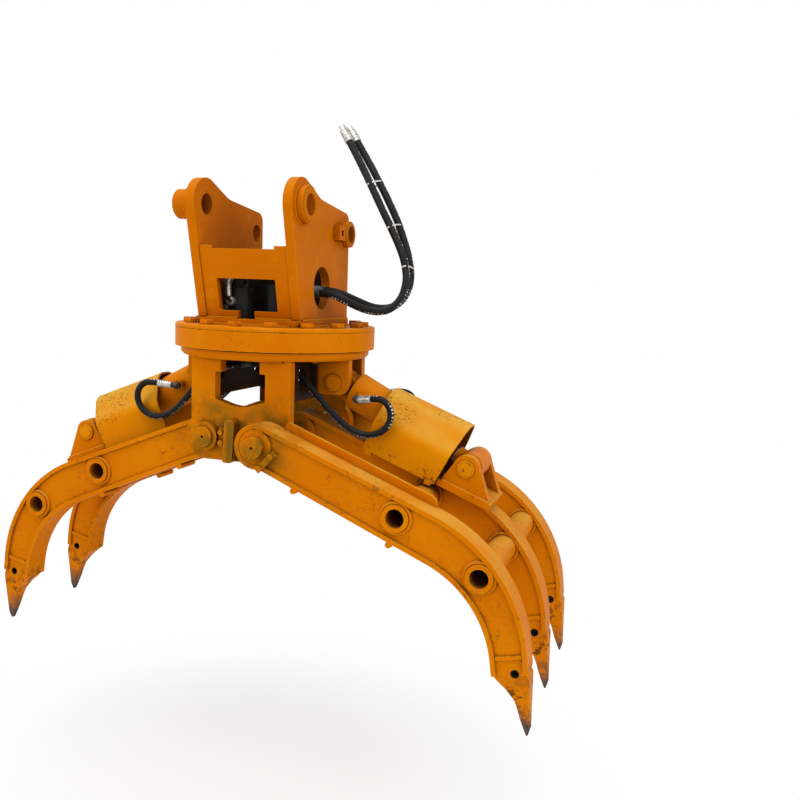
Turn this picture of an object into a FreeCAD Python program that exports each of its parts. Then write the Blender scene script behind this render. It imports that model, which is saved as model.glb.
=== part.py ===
import FreeCAD
import Part
import math
import os

# Hydraulic log and stone grapple for a 13 to 16 tonne excavator.
# A hanging head with two ears carries a slewing ring. Under the ring a frame holds
# two curved claws, one with three tines and one with two, each on its own cylinder.
# While it is built, z = 0 is the height of the claw pivots and x = y = 0 the slewing
# axis. The files are written with the origin in the middle of the stick pin's bore,
# +Z up and +X towards the claw with three tines. All sizes are in millimetres.

V = FreeCAD.Vector

# Head
ear_gap = 310.0
ear_plate = 30.0
ear_head_radius = 84.0
stick_pin_dia = 70.0
stick_pin_y = -205.0
stick_pin_z = 748.0
stick_collar_dia = 118.0
stick_collar_length = 28.0
lock_sleeve_dia = 96.0
lock_sleeve_length = 44.0
link_pin_dia = 60.0
link_pin_y = 142.0
link_pin_z = 679.0
link_collar_dia = 90.0
link_collar_length = 28.0
collar_lock_dia = 17.0
collar_step = 6.0
keeper_block = 48.0
keeper_reach = 24.0
keeper_pocket = 20.0
keeper_pocket_depth = 9.0
head_front_foot_y = -203.0
head_rear_y = 188.0
head_rear_corner_z = 750.0
head_neck_y = -62.0
head_neck_z = 778.0
head_neck_radius = 120.0
head_corner_radius = 34.0
hose_hole_y = -42.0
hose_hole_z = 490.0
hose_hole_width = 132.0
hose_hole_height = 142.0
front_plate = 25.0
front_plate_inset = 4.0
front_plate_top_z = 606.0
front_tab_height = 10.0
front_tab_width = 44.0
window_half_width = 105.0
window_top_z = 512.0
window_corner = 6.0
window_sill = 26.0
sill_gap_x = (-40.0, 21.0)
rear_plate_top_z = 560.0
rear_plate_inset = 12.0
base_plate = 20.0
base_plate_margin = 14.0
base_plate_corner = 45.0

# Slewing ring
cover_radius = 340.0
cover_skirt = 20.0
cover_height = 76.0
cover_top = 20.0
cover_edge_radius = 5.0
cover_seam_drop = 13.0
cover_seam_width = 2.0
cover_seam_depth = 1.5
cover_bottom_z = 287.0
outer_ring_wall = 60.0
outer_ring_height = 50.0
roller_dia = 18.0
roller_count = 24
race_gap = 4.0
race_clearance = 0.3
seal_thickness = 3.4
seal_inset = 7.0
seal_width = 12.0
gear_module = 8.0
ring_teeth = 45
pinion_teeth = 15
gear_backlash = 1.6
gear_height = 44.0
pinion_angle = 225.0
pinion_shaft_dia = 50.0
motor_dia = 120.0
motor_flange = 18.0
motor_flange_lip = 7.0
motor_height = 150.0
motor_head_height = 52.0
motor_head_width = 80.0
motor_port_dia = 24.0
motor_port_reach = 16.0
cover_bolt_inset = 44.0
cover_bolt_count = 16
cover_bolt_dia = 27.0
cover_bolt_head = 47.0
cover_bolt_head_height = 15.0
flange_bolt_count = 12
flange_bolts_left_out = (3, 9)
flange_bolt_dia = 20.0
flange_bolt_head = 30.0
flange_bolt_head_height = 13.0
flange_bolt_grip = 28.0
bolt_clearance = 0.5

# Carrier frame under the ring
flange_inset = 19.0
flange_chamfer = 9.0
flange_thickness = 25.0
frame_plate = 35.0
frame_inner_y = 223.0
frame_half_width = 176.0
frame_foot_z = 30.0
pivot_half_spread = 117.5
pivot_boss_radius = 78.0
pivot_boss_height = 24.0
frame_window_half = 90.0
frame_notch_half = 70.0
frame_window_top_z = 212.0
frame_window_low_z = 122.0
frame_window_dip = 27.0
frame_window_dip_radius = 150.0
web_plate = 25.0
web_outer_x = 165.0
web_bottom_z = 122.0
web_hole_dia = 66.0
web_hole_y = 138.0
web_hole_z = 205.0
stop_width = 34.0
stop_offset = 26.0
stop_lean = 10.0
stop_top_z = 62.0
stop_reach = 36.0

# Pivots and cylinder pins
pivot_pin_dia = 66.0
pivot_pin_reach = 24.0
pin_dimple_dia = 10.0
pivot_bush_wall = 9.0
pin_keeper_width = 18.0
pin_keeper_thickness = 12.0
pin_keeper_margin = 14.0
pin_keeper_bolt_dia = 17.0
pin_keeper_bolt_head = 10.0
right_keeper_spread = 28.0
left_keeper_spread = 17.0
keeper_clear_of_pin = 26.0
pin_head_lip = 7.0
pin_head_thickness = 6.0
running_clearance = 0.05
side_clearance = 4.0
small_pin_dia = 42.0
base_pin_x = 249.0
base_pin_z = 180.0
base_lug_gap = 90.0
base_lug_plate = 30.0
base_lug_reach = 53.0
base_lug_depth = 40.0
base_lug_corner = 35.0
rod_pin_x = 599.0
rod_pin_z = -63.0
rod_lug_gap = 124.0
rod_lug_plate = 30.0
rod_lug_radius = 43.0
rod_lug_flare = (150.0, 28.0)
open_pivot_clearance = 15.5

# Claws, measured from the pivot
tine_width = 88.0
tine_slope = 21.3
tine_low_slope = 22.7
hub_radius = 70.0
low_offset = 57.7
straight_length = 591.0
outer_radius = 464.0
outer_turn = 63.2
low_straight_length = 631.0
inner_curve_offset = 130.0
inner_turn = 59.3
band_plate = 14.0
side_plate = 12.0
side_recess = 9.0
boss_radius = 54.0
right_outer_face = 377.0
left_outer_face = 219.0
rib_height = 26.0
rib_plate = 12.0
rib_start = 40.0
rib_end = 577.0
tube_dia = 85.0
tube_bore = 58.0
tube_x = (460.0, 720.0)
tube_z = (-172.0, -319.0)
tube_proud = 4.0
weld_gap = 0.2
grip_bar_q = (169.0, 506.0)
grip_bar_dia = 20.0
grip_bar_drop = 6.0
lug_base_start = 512.0
lug_base_end = 700.0
lug_base_plate = 20.0
lug_base_half = 98.0
lug_foot_inset = 8.0
beam_depth = 84.0
beam_plate = 14.0
beam_gap = 4.0
guard_start = 245.0
guard_end_low = 508.0
guard_end_top = 531.0
guard_half_width = 110.0
guard_side_height = 108.0
guard_height = 206.0
guard_crown = 42.0
guard_bend = 62.0
guard_sheet = 6.0
foot_plate = 12.0
foot_width = 22.0
foot_inset = 10.0

# Noses and teeth. Each tine ends in a hollow nose between its two bands, and a tooth's
# shank is pinned in it. The outlines are pairs: the share of the tooth's length below the
# tine's end, and the distance across, towards the load, with a corner radius.
tooth_length = 241.0
tooth_lean = 13.5
tooth_taper_share = 0.30
tooth_tip_thickness = 14.0
tooth_pin_dia = 26.0
tooth_pin_bore = 18.0
tooth_pin_share = 0.183
tooth_pin_across = -10.0
band_overrun = 46.0
nose_shoulder = 3.0
nose_overlap = 8.0
nose_inside = [(0.25, 46.0, 12), (0.37, 26.0, 30), (0.52, 9.0, 0)]
nose_outside = [(0.42, -41.0, 0), (0.27, -49.0, 12)]
tooth_inside = [(0.64, 6.0, 30), (0.78, 5.0, 30), (0.90, 2.0, 20), (1.0, -1.0, 0)]
tooth_outside = [(1.0, -6.0, 0), (0.92, -17.0, 12)]
tooth_seat_gap = 0.003
shank_shares = (-0.06, 0.58)
shank_inside = (26.0, 1.0)
shank_outside = (-28.0, -30.0)
seat_weld_height = 12.0
seat_weld_proud = 6.0

# Cylinders
cylinder_bore = 100.0
barrel_dia = 125.0
barrel_start = 60.0
barrel_end = 386.0
cap_thickness = 25.0
gland_length = 42.0
gland_collar = 12.0
rod_dia = 60.0
piston_length = 50.0
piston_gap = 4.0
eye_radius = 45.0
eye_side_gap = 3.0
rod_eye_radius = 46.0
port_distance = 84.0
port_dia = 34.0
port_height = 22.0

# Rotary joint and oil supply
spool_dia = 60.0
spool_cap_radius = 54.0
spool_cap_height = 112.0
swivel_neck_radius = 46.0
swivel_body_radius = 65.0
swivel_bottom_z = 200.0
manifold_x = (62.0, 134.0)
manifold_y = (-95.0, 2.0)
manifold_height = 104.0
hose_dia = 22.0
supply_hose_dia = 26.0
ferrule_dia = 30.0
ferrule_length = 26.0
elbow_dia = 26.0
elbow_stem_dia = 16.0
supply_ferrule_dia = 32.0
supply_ferrule_length = 46.0
supply_tail_dia = 27.0
supply_tail_length = 24.0

# Routes of the hoses, chosen by hand, as points that the hose runs between
claw_hose_route = [
    (82.0, -82.0, 226.0), (118.0, -112.0, 218.0), (150.0, -136.0, 206.0),
    (184.0, -152.0, 184.0), (225.0, -155.0, 145.0),
    (266.0, -146.0, 99.0), (316.0, -140.0, 52.0), (369.0, -136.0, 26.0),
    (422.0, -133.0, 26.0), (464.0, -131.0, 56.0), (474.0, -130.0, 104.0),
    (448.0, -127.0, 146.0), (404.0, -121.0, 158.0), (360.0, -113.0, 149.0)]
supply_routes = [
    [(186.0, -60.0, 474.0), (228.0, -60.0, 474.0), (286.0, -46.0, 446.0),
     (345.0, -26.0, 420.0), (402.0, -4.0, 420.0), (444.0, 20.0, 458.0),
     (454.0, 46.0, 520.0), (438.0, 70.0, 582.0), (406.0, 91.0, 644.0),
     (366.0, 110.0, 708.0), (322.0, 131.0, 776.0), (277.0, 151.0, 850.0),
     (228.0, 172.0, 928.0), (178.0, 189.0, 1004.0)],
    [(186.0, -27.0, 482.0), (230.0, -27.0, 482.0), (298.0, -8.0, 452.0),
     (356.0, 12.0, 428.0), (412.0, 36.0, 432.0), (450.0, 60.0, 474.0),
     (457.0, 84.0, 536.0), (440.0, 105.0, 598.0), (414.0, 124.0, 660.0),
     (382.0, 142.0, 726.0), (340.0, 161.0, 796.0), (293.0, 182.0, 868.0),
     (244.0, 203.0, 940.0), (194.0, 223.0, 1008.0)]]

# Worked out from the sizes above
ear_inner = ear_gap / 2
ear_outer = ear_inner + ear_plate
cover_top_z = cover_bottom_z + cover_height
head_base_z = cover_top_z + base_plate
cover_bolt_circle = cover_radius - cover_bolt_inset
outer_ring_radius = cover_radius - cover_skirt - weld_gap
outer_ring_bore = cover_radius - cover_skirt - outer_ring_wall
flange_radius = cover_radius - flange_inset
seal_radius = flange_radius - seal_inset
flange_top_z = cover_bottom_z - race_gap
flange_bottom_z = flange_top_z - flange_thickness
frame_outer_y = frame_inner_y + frame_plate
slope = math.radians(tine_slope)
low_slope = math.radians(tine_low_slope)
inner_radius = outer_radius - inner_curve_offset
rod_pin_span = (pivot_half_spread + rod_pin_x - base_pin_x, rod_pin_z - base_pin_z)
rod_pin_distance = math.hypot(rod_pin_span[0], rod_pin_span[1])
cylinder_tilt = math.degrees(math.atan2(-rod_pin_span[1], rod_pin_span[0]))
ring_pitch_radius = gear_module * ring_teeth / 2
pinion_pitch_radius = gear_module * pinion_teeth / 2
gear_centres = ring_pitch_radius - pinion_pitch_radius
pinion_x = gear_centres * math.cos(math.radians(pinion_angle))
pinion_y = gear_centres * math.sin(math.radians(pinion_angle))
gear_low_z = flange_top_z + 1.0
ring_outer = outer_ring_bore - race_gap
gear_space_root = ring_pitch_radius + gear_module * 1.15
flange_bolt_circle = (gear_space_root + ring_outer) / 2


# Basic shapes

def box(x0, x1, y0, y1, z0, z1):
    return Part.makeBox(x1 - x0, y1 - y0, z1 - z0, V(x0, y0, z0))


def round_x(y, z, radius, x0, x1):
    return Part.makeCylinder(radius, x1 - x0, V(x0, y, z), V(1, 0, 0))


def round_y(x, z, radius, y0, y1):
    return Part.makeCylinder(radius, y1 - y0, V(x, y0, z), V(0, 1, 0))


def round_z(x, y, radius, z0, z1):
    return Part.makeCylinder(radius, z1 - z0, V(x, y, z0), V(0, 0, 1))


def ring_z(outer, inner, z0, z1):
    return round_z(0, 0, outer, z0, z1).cut(round_z(0, 0, inner, z0 - 1, z1 + 1))


def outline(corners, place):
    """A closed wire of straight runs whose corners (u, v, radius) are rounded."""
    ends = []
    for i, (u, v, radius) in enumerate(corners):
        here = V(u, v, 0)
        if radius == 0:
            ends.append((here, None, here))
            continue
        before = V(*corners[i - 1][:2], 0) - here
        after = V(*corners[(i + 1) % len(corners)][:2], 0) - here
        before.normalize()
        after.normalize()
        half = before.getAngle(after) / 2
        middle = before + after
        middle.normalize()
        reach = radius / math.tan(half)
        crown = here + middle * (radius / math.sin(half) - radius)
        ends.append((here + before * reach, crown, here + after * reach))
    edges = []
    for i, (start, crown, stop) in enumerate(ends):
        if crown is not None:
            edges.append(Part.Arc(place(start), place(crown), place(stop)).toShape())
        follow = ends[(i + 1) % len(ends)][0]
        if stop.distanceToPoint(follow) > 0.001:
            edges.append(Part.makeLine(place(stop), place(follow)))
    return Part.Wire(edges)


def plate_x(corners, x0, x1):
    wire = outline(corners, lambda p: V(x0, p.x, p.y))
    return Part.Face(wire).extrude(V(x1 - x0, 0, 0))


def plate_y(corners, y0, y1):
    wire = outline(corners, lambda p: V(p.x, y0, p.y))
    return Part.Face(wire).extrude(V(0, y1 - y0, 0))


def plate_z(corners, z0, z1):
    wire = outline(corners, lambda p: V(p.x, p.y, z0))
    return Part.Face(wire).extrude(V(0, 0, z1 - z0))


def moved(shape, x, y, z):
    copy = shape.copy()
    copy.translate(V(x, y, z))
    return copy


def turned(shape, axis, degrees, centre=V(0, 0, 0)):
    copy = shape.copy()
    copy.rotate(centre, axis, degrees)
    return copy


def mirror_x(shape):
    return shape.mirror(V(0, 0, 0), V(1, 0, 0))


def mirror_y(shape):
    return shape.mirror(V(0, 0, 0), V(0, 1, 0))


def joined(shapes):
    result = shapes[0].fuse(shapes[1:])
    return result.removeSplitter()


def hex_bolt(place, z, dia, across, head_height, shank, up=True):
    """A bolt whose head sits on height z, with its shank going into the part."""
    x, y = place
    sign = 1 if up else -1
    points = []
    for k in range(7):
        a = math.radians(60 * k)
        points.append(V(x + across / 2 * math.cos(a), y + across / 2 * math.sin(a), z))
    head = Part.Face(Part.makePolygon(points)).extrude(V(0, 0, sign * head_height))
    body = Part.makeCylinder(dia / 2, shank, V(x, y, z), V(0, 0, -sign))
    return head.fuse(body)


def save(name, shapes):
    solids = []
    for shape in shapes:
        solids.extend(shape.Solids)
    group = Part.Compound(solids) if len(solids) > 1 else solids[0]
    group.translate(V(0, -stick_pin_y, -stick_pin_z))
    group.exportStep("parts/" + name + ".step")
    print(name, len(solids), "solids", [s.isValid() for s in solids].count(False), "bad")


# Head

def tangent_point(cy, cz, radius, py, pz):
    """Where a line from (py, pz) touches the upper side of a circle."""
    distance = math.hypot(py - cy, pz - cz)
    angle = math.atan2(pz - cz, py - cy) + math.acos(radius / distance)
    return cy + radius * math.cos(angle), cz + radius * math.sin(angle)


def front_edge_y(z):
    """The front edge runs up from its foot and touches the ear's round end."""
    out = stick_pin_y - head_front_foot_y
    up = stick_pin_z - head_base_z
    lean = math.asin(ear_head_radius / math.hypot(out, up)) - math.atan2(out, up)
    return head_front_foot_y - math.tan(lean) * (z - head_base_z)


def hose_hole(x0, x1):
    half = (hose_hole_height - hose_hole_width) / 2
    low = round_x(hose_hole_y, hose_hole_z - half, hose_hole_width / 2, x0, x1)
    high = round_x(hose_hole_y, hose_hole_z + half, hose_hole_width / 2, x0, x1)
    middle = box(x0, x1, hose_hole_y - hose_hole_width / 2, hose_hole_y + hose_hole_width / 2,
                 hose_hole_z - half, hose_hole_z + half)
    return joined([low, high, middle])


def head_side():
    touch_y, touch_z = tangent_point(stick_pin_y, stick_pin_z, ear_head_radius,
                                     head_neck_y, head_neck_z)
    lean = math.atan2(head_front_foot_y - front_edge_y(stick_pin_z), stick_pin_z - head_base_z)
    cheek_z = stick_pin_z - ear_head_radius * math.sin(lean)
    corners = [(head_front_foot_y, head_base_z, 0), (front_edge_y(cheek_z), cheek_z, 0),
               (stick_pin_y, stick_pin_z, 0), (touch_y, touch_z, 0),
               (head_neck_y, head_neck_z, head_neck_radius),
               (head_rear_y, head_rear_corner_z, head_corner_radius), (head_rear_y, head_base_z, 0)]
    plate = plate_x(corners, ear_inner, ear_outer)
    ear = round_x(stick_pin_y, stick_pin_z, ear_head_radius, ear_inner, ear_outer)
    plate = joined([plate, ear])
    for y, z, dia in ((stick_pin_y, stick_pin_z, stick_collar_dia),
                      (link_pin_y, link_pin_z, link_collar_dia)):
        plate = plate.cut(round_x(y, z, dia / 2 - collar_step + weld_gap, ear_inner - 1, ear_outer + 1))
    return plate


def collar(y, z, outer, bore, length):
    sleeve = round_x(y, z, outer / 2 - collar_step, ear_inner, ear_outer + length)
    ring = round_x(y, z, outer / 2, ear_outer, ear_outer + length - collar_step / 2)
    hole = round_x(y, z, bore / 2, ear_inner - 1, ear_outer + length + 1)
    return joined([sleeve, ring]).cut(hole)


def lock_sleeve():
    """The longer sleeve on the left ear, with the hole of the stick pin's lock bolt."""
    start = ear_outer + stick_collar_length
    end = start + lock_sleeve_length
    sleeve = round_x(stick_pin_y, stick_pin_z, lock_sleeve_dia / 2, start, end)
    sleeve = sleeve.makeChamfer(collar_step / 2, [e for e in sleeve.Edges if e.CenterOfMass.x > end - 1])
    hole = round_x(stick_pin_y, stick_pin_z, stick_pin_dia / 2 + 1, start - 1, end + 1)
    lock = round_z((start + end) / 2, stick_pin_y, collar_lock_dia / 2, stick_pin_z,
                   stick_pin_z + lock_sleeve_dia)
    return mirror_x(sleeve.cut(hole).cut(lock))


def link_keeper():
    """The square block beside the rear collar, with its square pocket."""
    rear = link_pin_y - link_collar_dia / 2 - 1
    middle_y = rear - keeper_block / 2
    low = link_pin_z - keeper_block / 2
    block = box(ear_outer, ear_outer + keeper_reach, rear - keeper_block, rear, low, low + keeper_block)
    pocket = box(ear_outer + keeper_reach - keeper_pocket_depth, ear_outer + keeper_reach + 1,
                 middle_y - keeper_pocket / 2, middle_y + keeper_pocket / 2,
                 link_pin_z - keeper_pocket / 2, link_pin_z + keeper_pocket / 2)
    return block.cut(pocket)


def front_slab(low_z, high_z, x0, x1):
    """A piece of the leaning front plate."""
    near, far = front_plate_inset, front_plate_inset + front_plate
    corners = [(front_edge_y(low_z) + near, low_z, 0), (front_edge_y(high_z) + near, high_z, 0),
               (front_edge_y(high_z) + far, high_z, 0), (front_edge_y(low_z) + far, low_z, 0)]
    return plate_x(corners, x0, x1)


def head_front():
    """The leaning front plate with two tabs; its window goes down to the base in the middle."""
    low_z = head_base_z
    top_z = front_plate_top_z
    tab_z = top_z + front_tab_height
    shapes = [front_slab(low_z, top_z, -ear_inner, ear_inner),
              front_slab(top_z - 1, tab_z, ear_inner - front_tab_width, ear_inner),
              front_slab(top_z - 1, tab_z, -ear_inner, front_tab_width - ear_inner)]
    sill_z = low_z + window_sill
    left, right = sill_gap_x
    window = [(-window_half_width, sill_z, window_corner), (-window_half_width, window_top_z, window_corner),
              (window_half_width, window_top_z, window_corner), (window_half_width, sill_z, window_corner),
              (right, sill_z, 0), (right, low_z - 1, 0), (left, low_z - 1, 0), (left, sill_z, 0)]
    hole = plate_y(window, front_edge_y(top_z) - front_plate, head_front_foot_y + 2 * front_plate)
    return joined(shapes).cut(hole)


def head_rear():
    y1 = head_rear_y - rear_plate_inset
    return box(-ear_inner, ear_inner, y1 - front_plate, y1, head_base_z, rear_plate_top_z)


def head_base():
    half_x = ear_outer + base_plate_margin
    front = head_front_foot_y - base_plate_margin
    rear = head_rear_y + base_plate_margin
    corners = [(-half_x, front, base_plate_corner), (half_x, front, base_plate_corner),
               (half_x, rear, base_plate_corner), (-half_x, rear, base_plate_corner)]
    plate = plate_z(corners, cover_top_z, head_base_z)
    shaft = round_z(pinion_x, pinion_y, pinion_shaft_dia / 2 + 4, cover_top_z - 1, head_base_z + 1)
    spool = round_z(0, 0, spool_dia / 2 + 1, cover_top_z - 1, head_base_z + 1)
    return plate.cut(shaft).cut(spool)


def build_head():
    side = head_side()
    save("head_side_right", [side.cut(hose_hole(ear_inner - 1, ear_outer + 1))])
    save("head_side_left", [mirror_x(side)])
    save("head_front_plate", [head_front()])
    save("head_rear_plate", [head_rear()])
    save("head_base_plate", [head_base()])
    collars = [collar(stick_pin_y, stick_pin_z, stick_collar_dia, stick_pin_dia, stick_collar_length),
               collar(link_pin_y, link_pin_z, link_collar_dia, link_pin_dia, link_collar_length)]
    save("pin_collars", collars + [mirror_x(c) for c in collars] + [link_keeper(), lock_sleeve()])


# Slewing ring

def slewing_cover():
    bottom = cover_bottom_z
    top = cover_top_z
    shell = round_z(0, 0, cover_radius, bottom, top)
    rim = [e for e in shell.Edges if abs(e.CenterOfMass.z - top) < 0.1 and e.Length > cover_radius]
    shell = shell.makeFillet(cover_edge_radius, rim)
    room = round_z(0, 0, cover_radius - cover_skirt, bottom - 1, top - cover_top)
    shell = shell.cut(room)
    shell = shell.cut(round_z(0, 0, spool_dia / 2 + 1, bottom, top + 1))
    shell = shell.cut(round_z(pinion_x, pinion_y, pinion_shaft_dia / 2 + 4, bottom, top + 1))
    seam_z = top - cover_seam_drop
    shell = shell.cut(ring_z(cover_radius + 1, cover_radius - cover_seam_depth,
                             seam_z - cover_seam_width, seam_z))
    for x, y in cover_bolt_places():
        shell = shell.cut(round_z(x, y, cover_bolt_dia / 2 + bolt_clearance, bottom, top + 1))
    return shell


def bolt_places(circle, count, skip=()):
    places = []
    for k in range(count):
        if k not in skip:
            a = 2 * math.pi * k / count
            places.append((circle * math.cos(a), circle * math.sin(a)))
    return places


def cover_bolt_places():
    return bolt_places(cover_bolt_circle, cover_bolt_count)


def flange_bolt_places():
    return bolt_places(flange_bolt_circle, flange_bolt_count, flange_bolts_left_out)


def race_middle_z():
    return cover_top_z - cover_top - outer_ring_height / 2


def race_groove():
    """The square groove that the crossed rollers run in, shared by both rings."""
    middle = (outer_ring_bore + ring_outer) / 2
    reach = (roller_dia / 2 + race_clearance) * math.sqrt(2)
    z = race_middle_z()
    points = [V(middle - reach, 0, z), V(middle, 0, z + reach), V(middle + reach, 0, z),
              V(middle, 0, z - reach), V(middle - reach, 0, z)]
    return Part.Face(Part.makePolygon(points)).revolve(V(0, 0, 0), V(0, 0, 1), 360)


def outer_ring(groove):
    low = cover_top_z - cover_top - outer_ring_height
    body = ring_z(outer_ring_radius, outer_ring_bore, low, low + outer_ring_height)
    for x, y in cover_bolt_places():
        body = body.cut(round_z(x, y, cover_bolt_dia / 2 + bolt_clearance, low - 1,
                                low + outer_ring_height + 1))
    return body.cut(groove)


def crossed_rollers():
    middle = (outer_ring_bore + ring_outer) / 2
    rollers = []
    for k in range(roller_count):
        lean = 45 if k % 2 == 0 else -45
        length = roller_dia - 1.0
        body = Part.makeCylinder(roller_dia / 2, length, V(0, 0, -length / 2), V(0, 0, 1))
        body = turned(body, V(0, 1, 0), lean)
        body = moved(body, middle, 0, race_middle_z())
        rollers.append(turned(body, V(0, 0, 1), 360.0 * k / roller_count))
    return rollers


def gear_wire(teeth, pitch_radius, tip, root, tip_share, root_share, z):
    """A closed gear outline of straight flanks; the shares are of one tooth's pitch."""
    step = 2 * math.pi / teeth
    points = []
    for k in range(teeth):
        middle = k * step
        for radius, share in ((root, -root_share), (tip, -tip_share), (tip, tip_share), (root, root_share)):
            angle = middle + share * step / 2
            points.append(V(radius * math.cos(angle), radius * math.sin(angle), z))
    points.append(points[0])
    return Part.makePolygon(points)


def backlash_share():
    return gear_backlash / (math.pi * gear_module)


def ring_gear(groove):
    low = flange_top_z
    high = cover_top_z - cover_top - race_gap
    blank = ring_z(ring_outer, ring_pitch_radius - gear_module * 0.9, low, high)
    # the spaces of the ring are cut with a wheel whose teeth are the spaces
    wire = gear_wire(ring_teeth, ring_pitch_radius, gear_space_root, ring_pitch_radius - gear_module * 1.4,
                     0.30 + backlash_share(), 0.80 + backlash_share(), low - 1)
    cutter = Part.Face(wire).extrude(V(0, 0, high - low + 2))
    cutter = turned(cutter, V(0, 0, 1), pinion_angle)
    blank = blank.cut(cutter).cut(groove)
    for x, y in flange_bolt_places():
        blank = blank.cut(round_z(x, y, flange_bolt_dia / 2 + bolt_clearance, low - 1,
                                  low + flange_bolt_grip + 2))
    return blank


def pinion():
    low = gear_low_z + 2
    high = gear_low_z + gear_height - 2
    tip = pinion_pitch_radius + gear_module * 0.9
    root = pinion_pitch_radius - gear_module * 1.15
    wire = gear_wire(pinion_teeth, pinion_pitch_radius, tip, root, 0.24, 0.68, low)
    wheel = Part.Face(wire).extrude(V(0, 0, high - low))
    wheel = turned(wheel, V(0, 0, 1), pinion_angle)
    shaft = round_z(0, 0, pinion_shaft_dia / 2, low, head_base_z + 12)
    return moved(joined([wheel, shaft]), pinion_x, pinion_y, 0)


def slewing_motor():
    low = head_base_z
    half = motor_head_width / 2
    head_z = low + motor_height - motor_head_height
    flange = round_z(pinion_x, pinion_y, motor_dia / 2, low, low + motor_flange)
    body = round_z(pinion_x, pinion_y, motor_dia / 2 - motor_flange_lip, low, head_z + 1)
    head = box(pinion_x - half, pinion_x + half, pinion_y - half, pinion_y + half,
               head_z, low + motor_height)
    ports = []
    for side in (-1, 1):
        ports.append(round_y(pinion_x + side * half / 2, head_z + motor_head_height / 2, motor_port_dia / 2,
                             pinion_y - half - motor_port_reach, pinion_y - half + 1))
    seat = round_z(pinion_x, pinion_y, pinion_shaft_dia / 2 + running_clearance, low - 1, low + 12.3)
    return joined([flange, body, head] + ports).cut(seat)


def build_slewing():
    groove = race_groove()
    save("slewing_cover", [slewing_cover()])
    save("bearing_outer_ring", [outer_ring(groove)])
    save("bearing_rollers", crossed_rollers())
    save("slewing_seal", [ring_z(seal_radius, seal_radius - seal_width,
                                 flange_top_z + 0.3, flange_top_z + 0.3 + seal_thickness + 4)])
    shank = cover_top + outer_ring_height - 6
    save("cover_bolts", [hex_bolt(place, cover_top_z, cover_bolt_dia, cover_bolt_head,
                                  cover_bolt_head_height, shank) for place in cover_bolt_places()])
    save("slewing_motor", [slewing_motor()])
    save("slewing_pinion", [pinion()])
    save("ring_gear", [ring_gear(groove)])


# Carrier frame

def carrier_flange():
    disc = round_z(0, 0, flange_radius, flange_bottom_z, flange_top_z)
    disc = disc.makeChamfer(flange_chamfer, [e for e in disc.Edges if e.Length > flange_radius
                                             and abs(e.CenterOfMass.z - flange_bottom_z) < 0.1])
    disc = disc.cut(round_z(0, 0, swivel_neck_radius + 1, flange_bottom_z - 1, flange_top_z + 1))
    for x, y in flange_bolt_places():
        disc = disc.cut(round_z(x, y, flange_bolt_dia / 2 + bolt_clearance, flange_bottom_z - 1,
                                flange_top_z + 1))
    return disc


def frame_plate_shape(left_hole, right_hole):
    """The front plate: two columns, a window and the pivot bosses at its foot."""
    y0, y1 = -frame_outer_y, -frame_inner_y
    top = [(-frame_half_width, frame_foot_z, 0), (-frame_half_width, flange_bottom_z, 0),
           (frame_half_width, flange_bottom_z, 0), (frame_half_width, frame_foot_z, 0)]
    shapes = [plate_y(top, y0, y1)]
    for side in (-1, 1):
        x = side * pivot_half_spread
        shapes.append(round_y(x, 0, pivot_boss_radius, y0, y1))
    shapes.append(box(-pivot_half_spread, pivot_half_spread, y0, y1, -pivot_boss_radius, frame_foot_z))
    shapes.append(round_y(-pivot_half_spread, 0, pivot_pin_dia / 2 + 14, y0 - pivot_boss_height, y0))
    plate = joined(shapes)
    low = frame_window_low_z
    wide = [(-frame_window_half, low, 0), (-frame_window_half, frame_window_top_z, 5),
            (frame_window_half, frame_window_top_z, 5), (frame_window_half, low, 0),
            (0, low - frame_window_dip, frame_window_dip_radius)]
    notch = [(-frame_notch_half, low + 20, 0), (-frame_notch_half, flange_bottom_z, 0),
             (frame_notch_half, flange_bottom_z, 0), (frame_notch_half, low + 20, 0)]
    plate = plate.cut(plate_y(wide, y0 - 1, y1 + 1)).cut(plate_y(notch, y0 - 1, y1 + 1))
    reach = frame_outer_y + pivot_boss_height + 1
    plate = plate.cut(round_y(-pivot_half_spread, 0, left_hole, -reach, y1 + 1))
    return plate.cut(round_y(pivot_half_spread, 0, right_hole, -reach, y1 + 1))


def side_web():
    """An upright plate between the front and rear plates, with a hole for the hoses."""
    y = frame_inner_y
    corners = [(-y, flange_bottom_z, 0), (y, flange_bottom_z, 0), (y, web_bottom_z - 16, 0),
               (y - 50, web_bottom_z, 20), (50 - y, web_bottom_z, 20), (-y, web_bottom_z - 16, 0)]
    web = plate_x(corners, web_outer_x - web_plate, web_outer_x)
    for side in (-1, 1):
        web = web.cut(round_x(side * web_hole_y, web_hole_z, web_hole_dia / 2,
                              web_outer_x - web_plate - 1, web_outer_x + 1))
    return web


def centre_stop():
    """The upright bar between the pivots that the claws close up against."""
    half = stop_width / 2
    foot, top = -stop_offset, stop_lean - stop_offset
    bar = [(foot - half, -pivot_boss_radius, half / 2), (top - half, stop_top_z, half * 0.9),
           (top + half, stop_top_z, half * 0.9), (foot + half, -pivot_boss_radius, half / 2)]
    return plate_y(bar, -frame_outer_y - stop_reach, -frame_outer_y)


def base_lug(side):
    """One plate of the pair that holds a cylinder's base pin under the flange."""
    right = base_pin_x + base_lug_reach
    low = base_pin_z - base_lug_depth
    corners = [(web_outer_x, low, 0), (web_outer_x, flange_bottom_z, 0), (right, flange_bottom_z, 0),
               (right, low, base_lug_corner)]
    y0 = base_lug_gap / 2
    plate = plate_y(corners, y0, y0 + base_lug_plate)
    plate = plate.cut(round_y(base_pin_x, base_pin_z, small_pin_dia / 2 + weld_gap, 0, frame_inner_y))
    return plate if side > 0 else mirror_y(plate)


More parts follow.
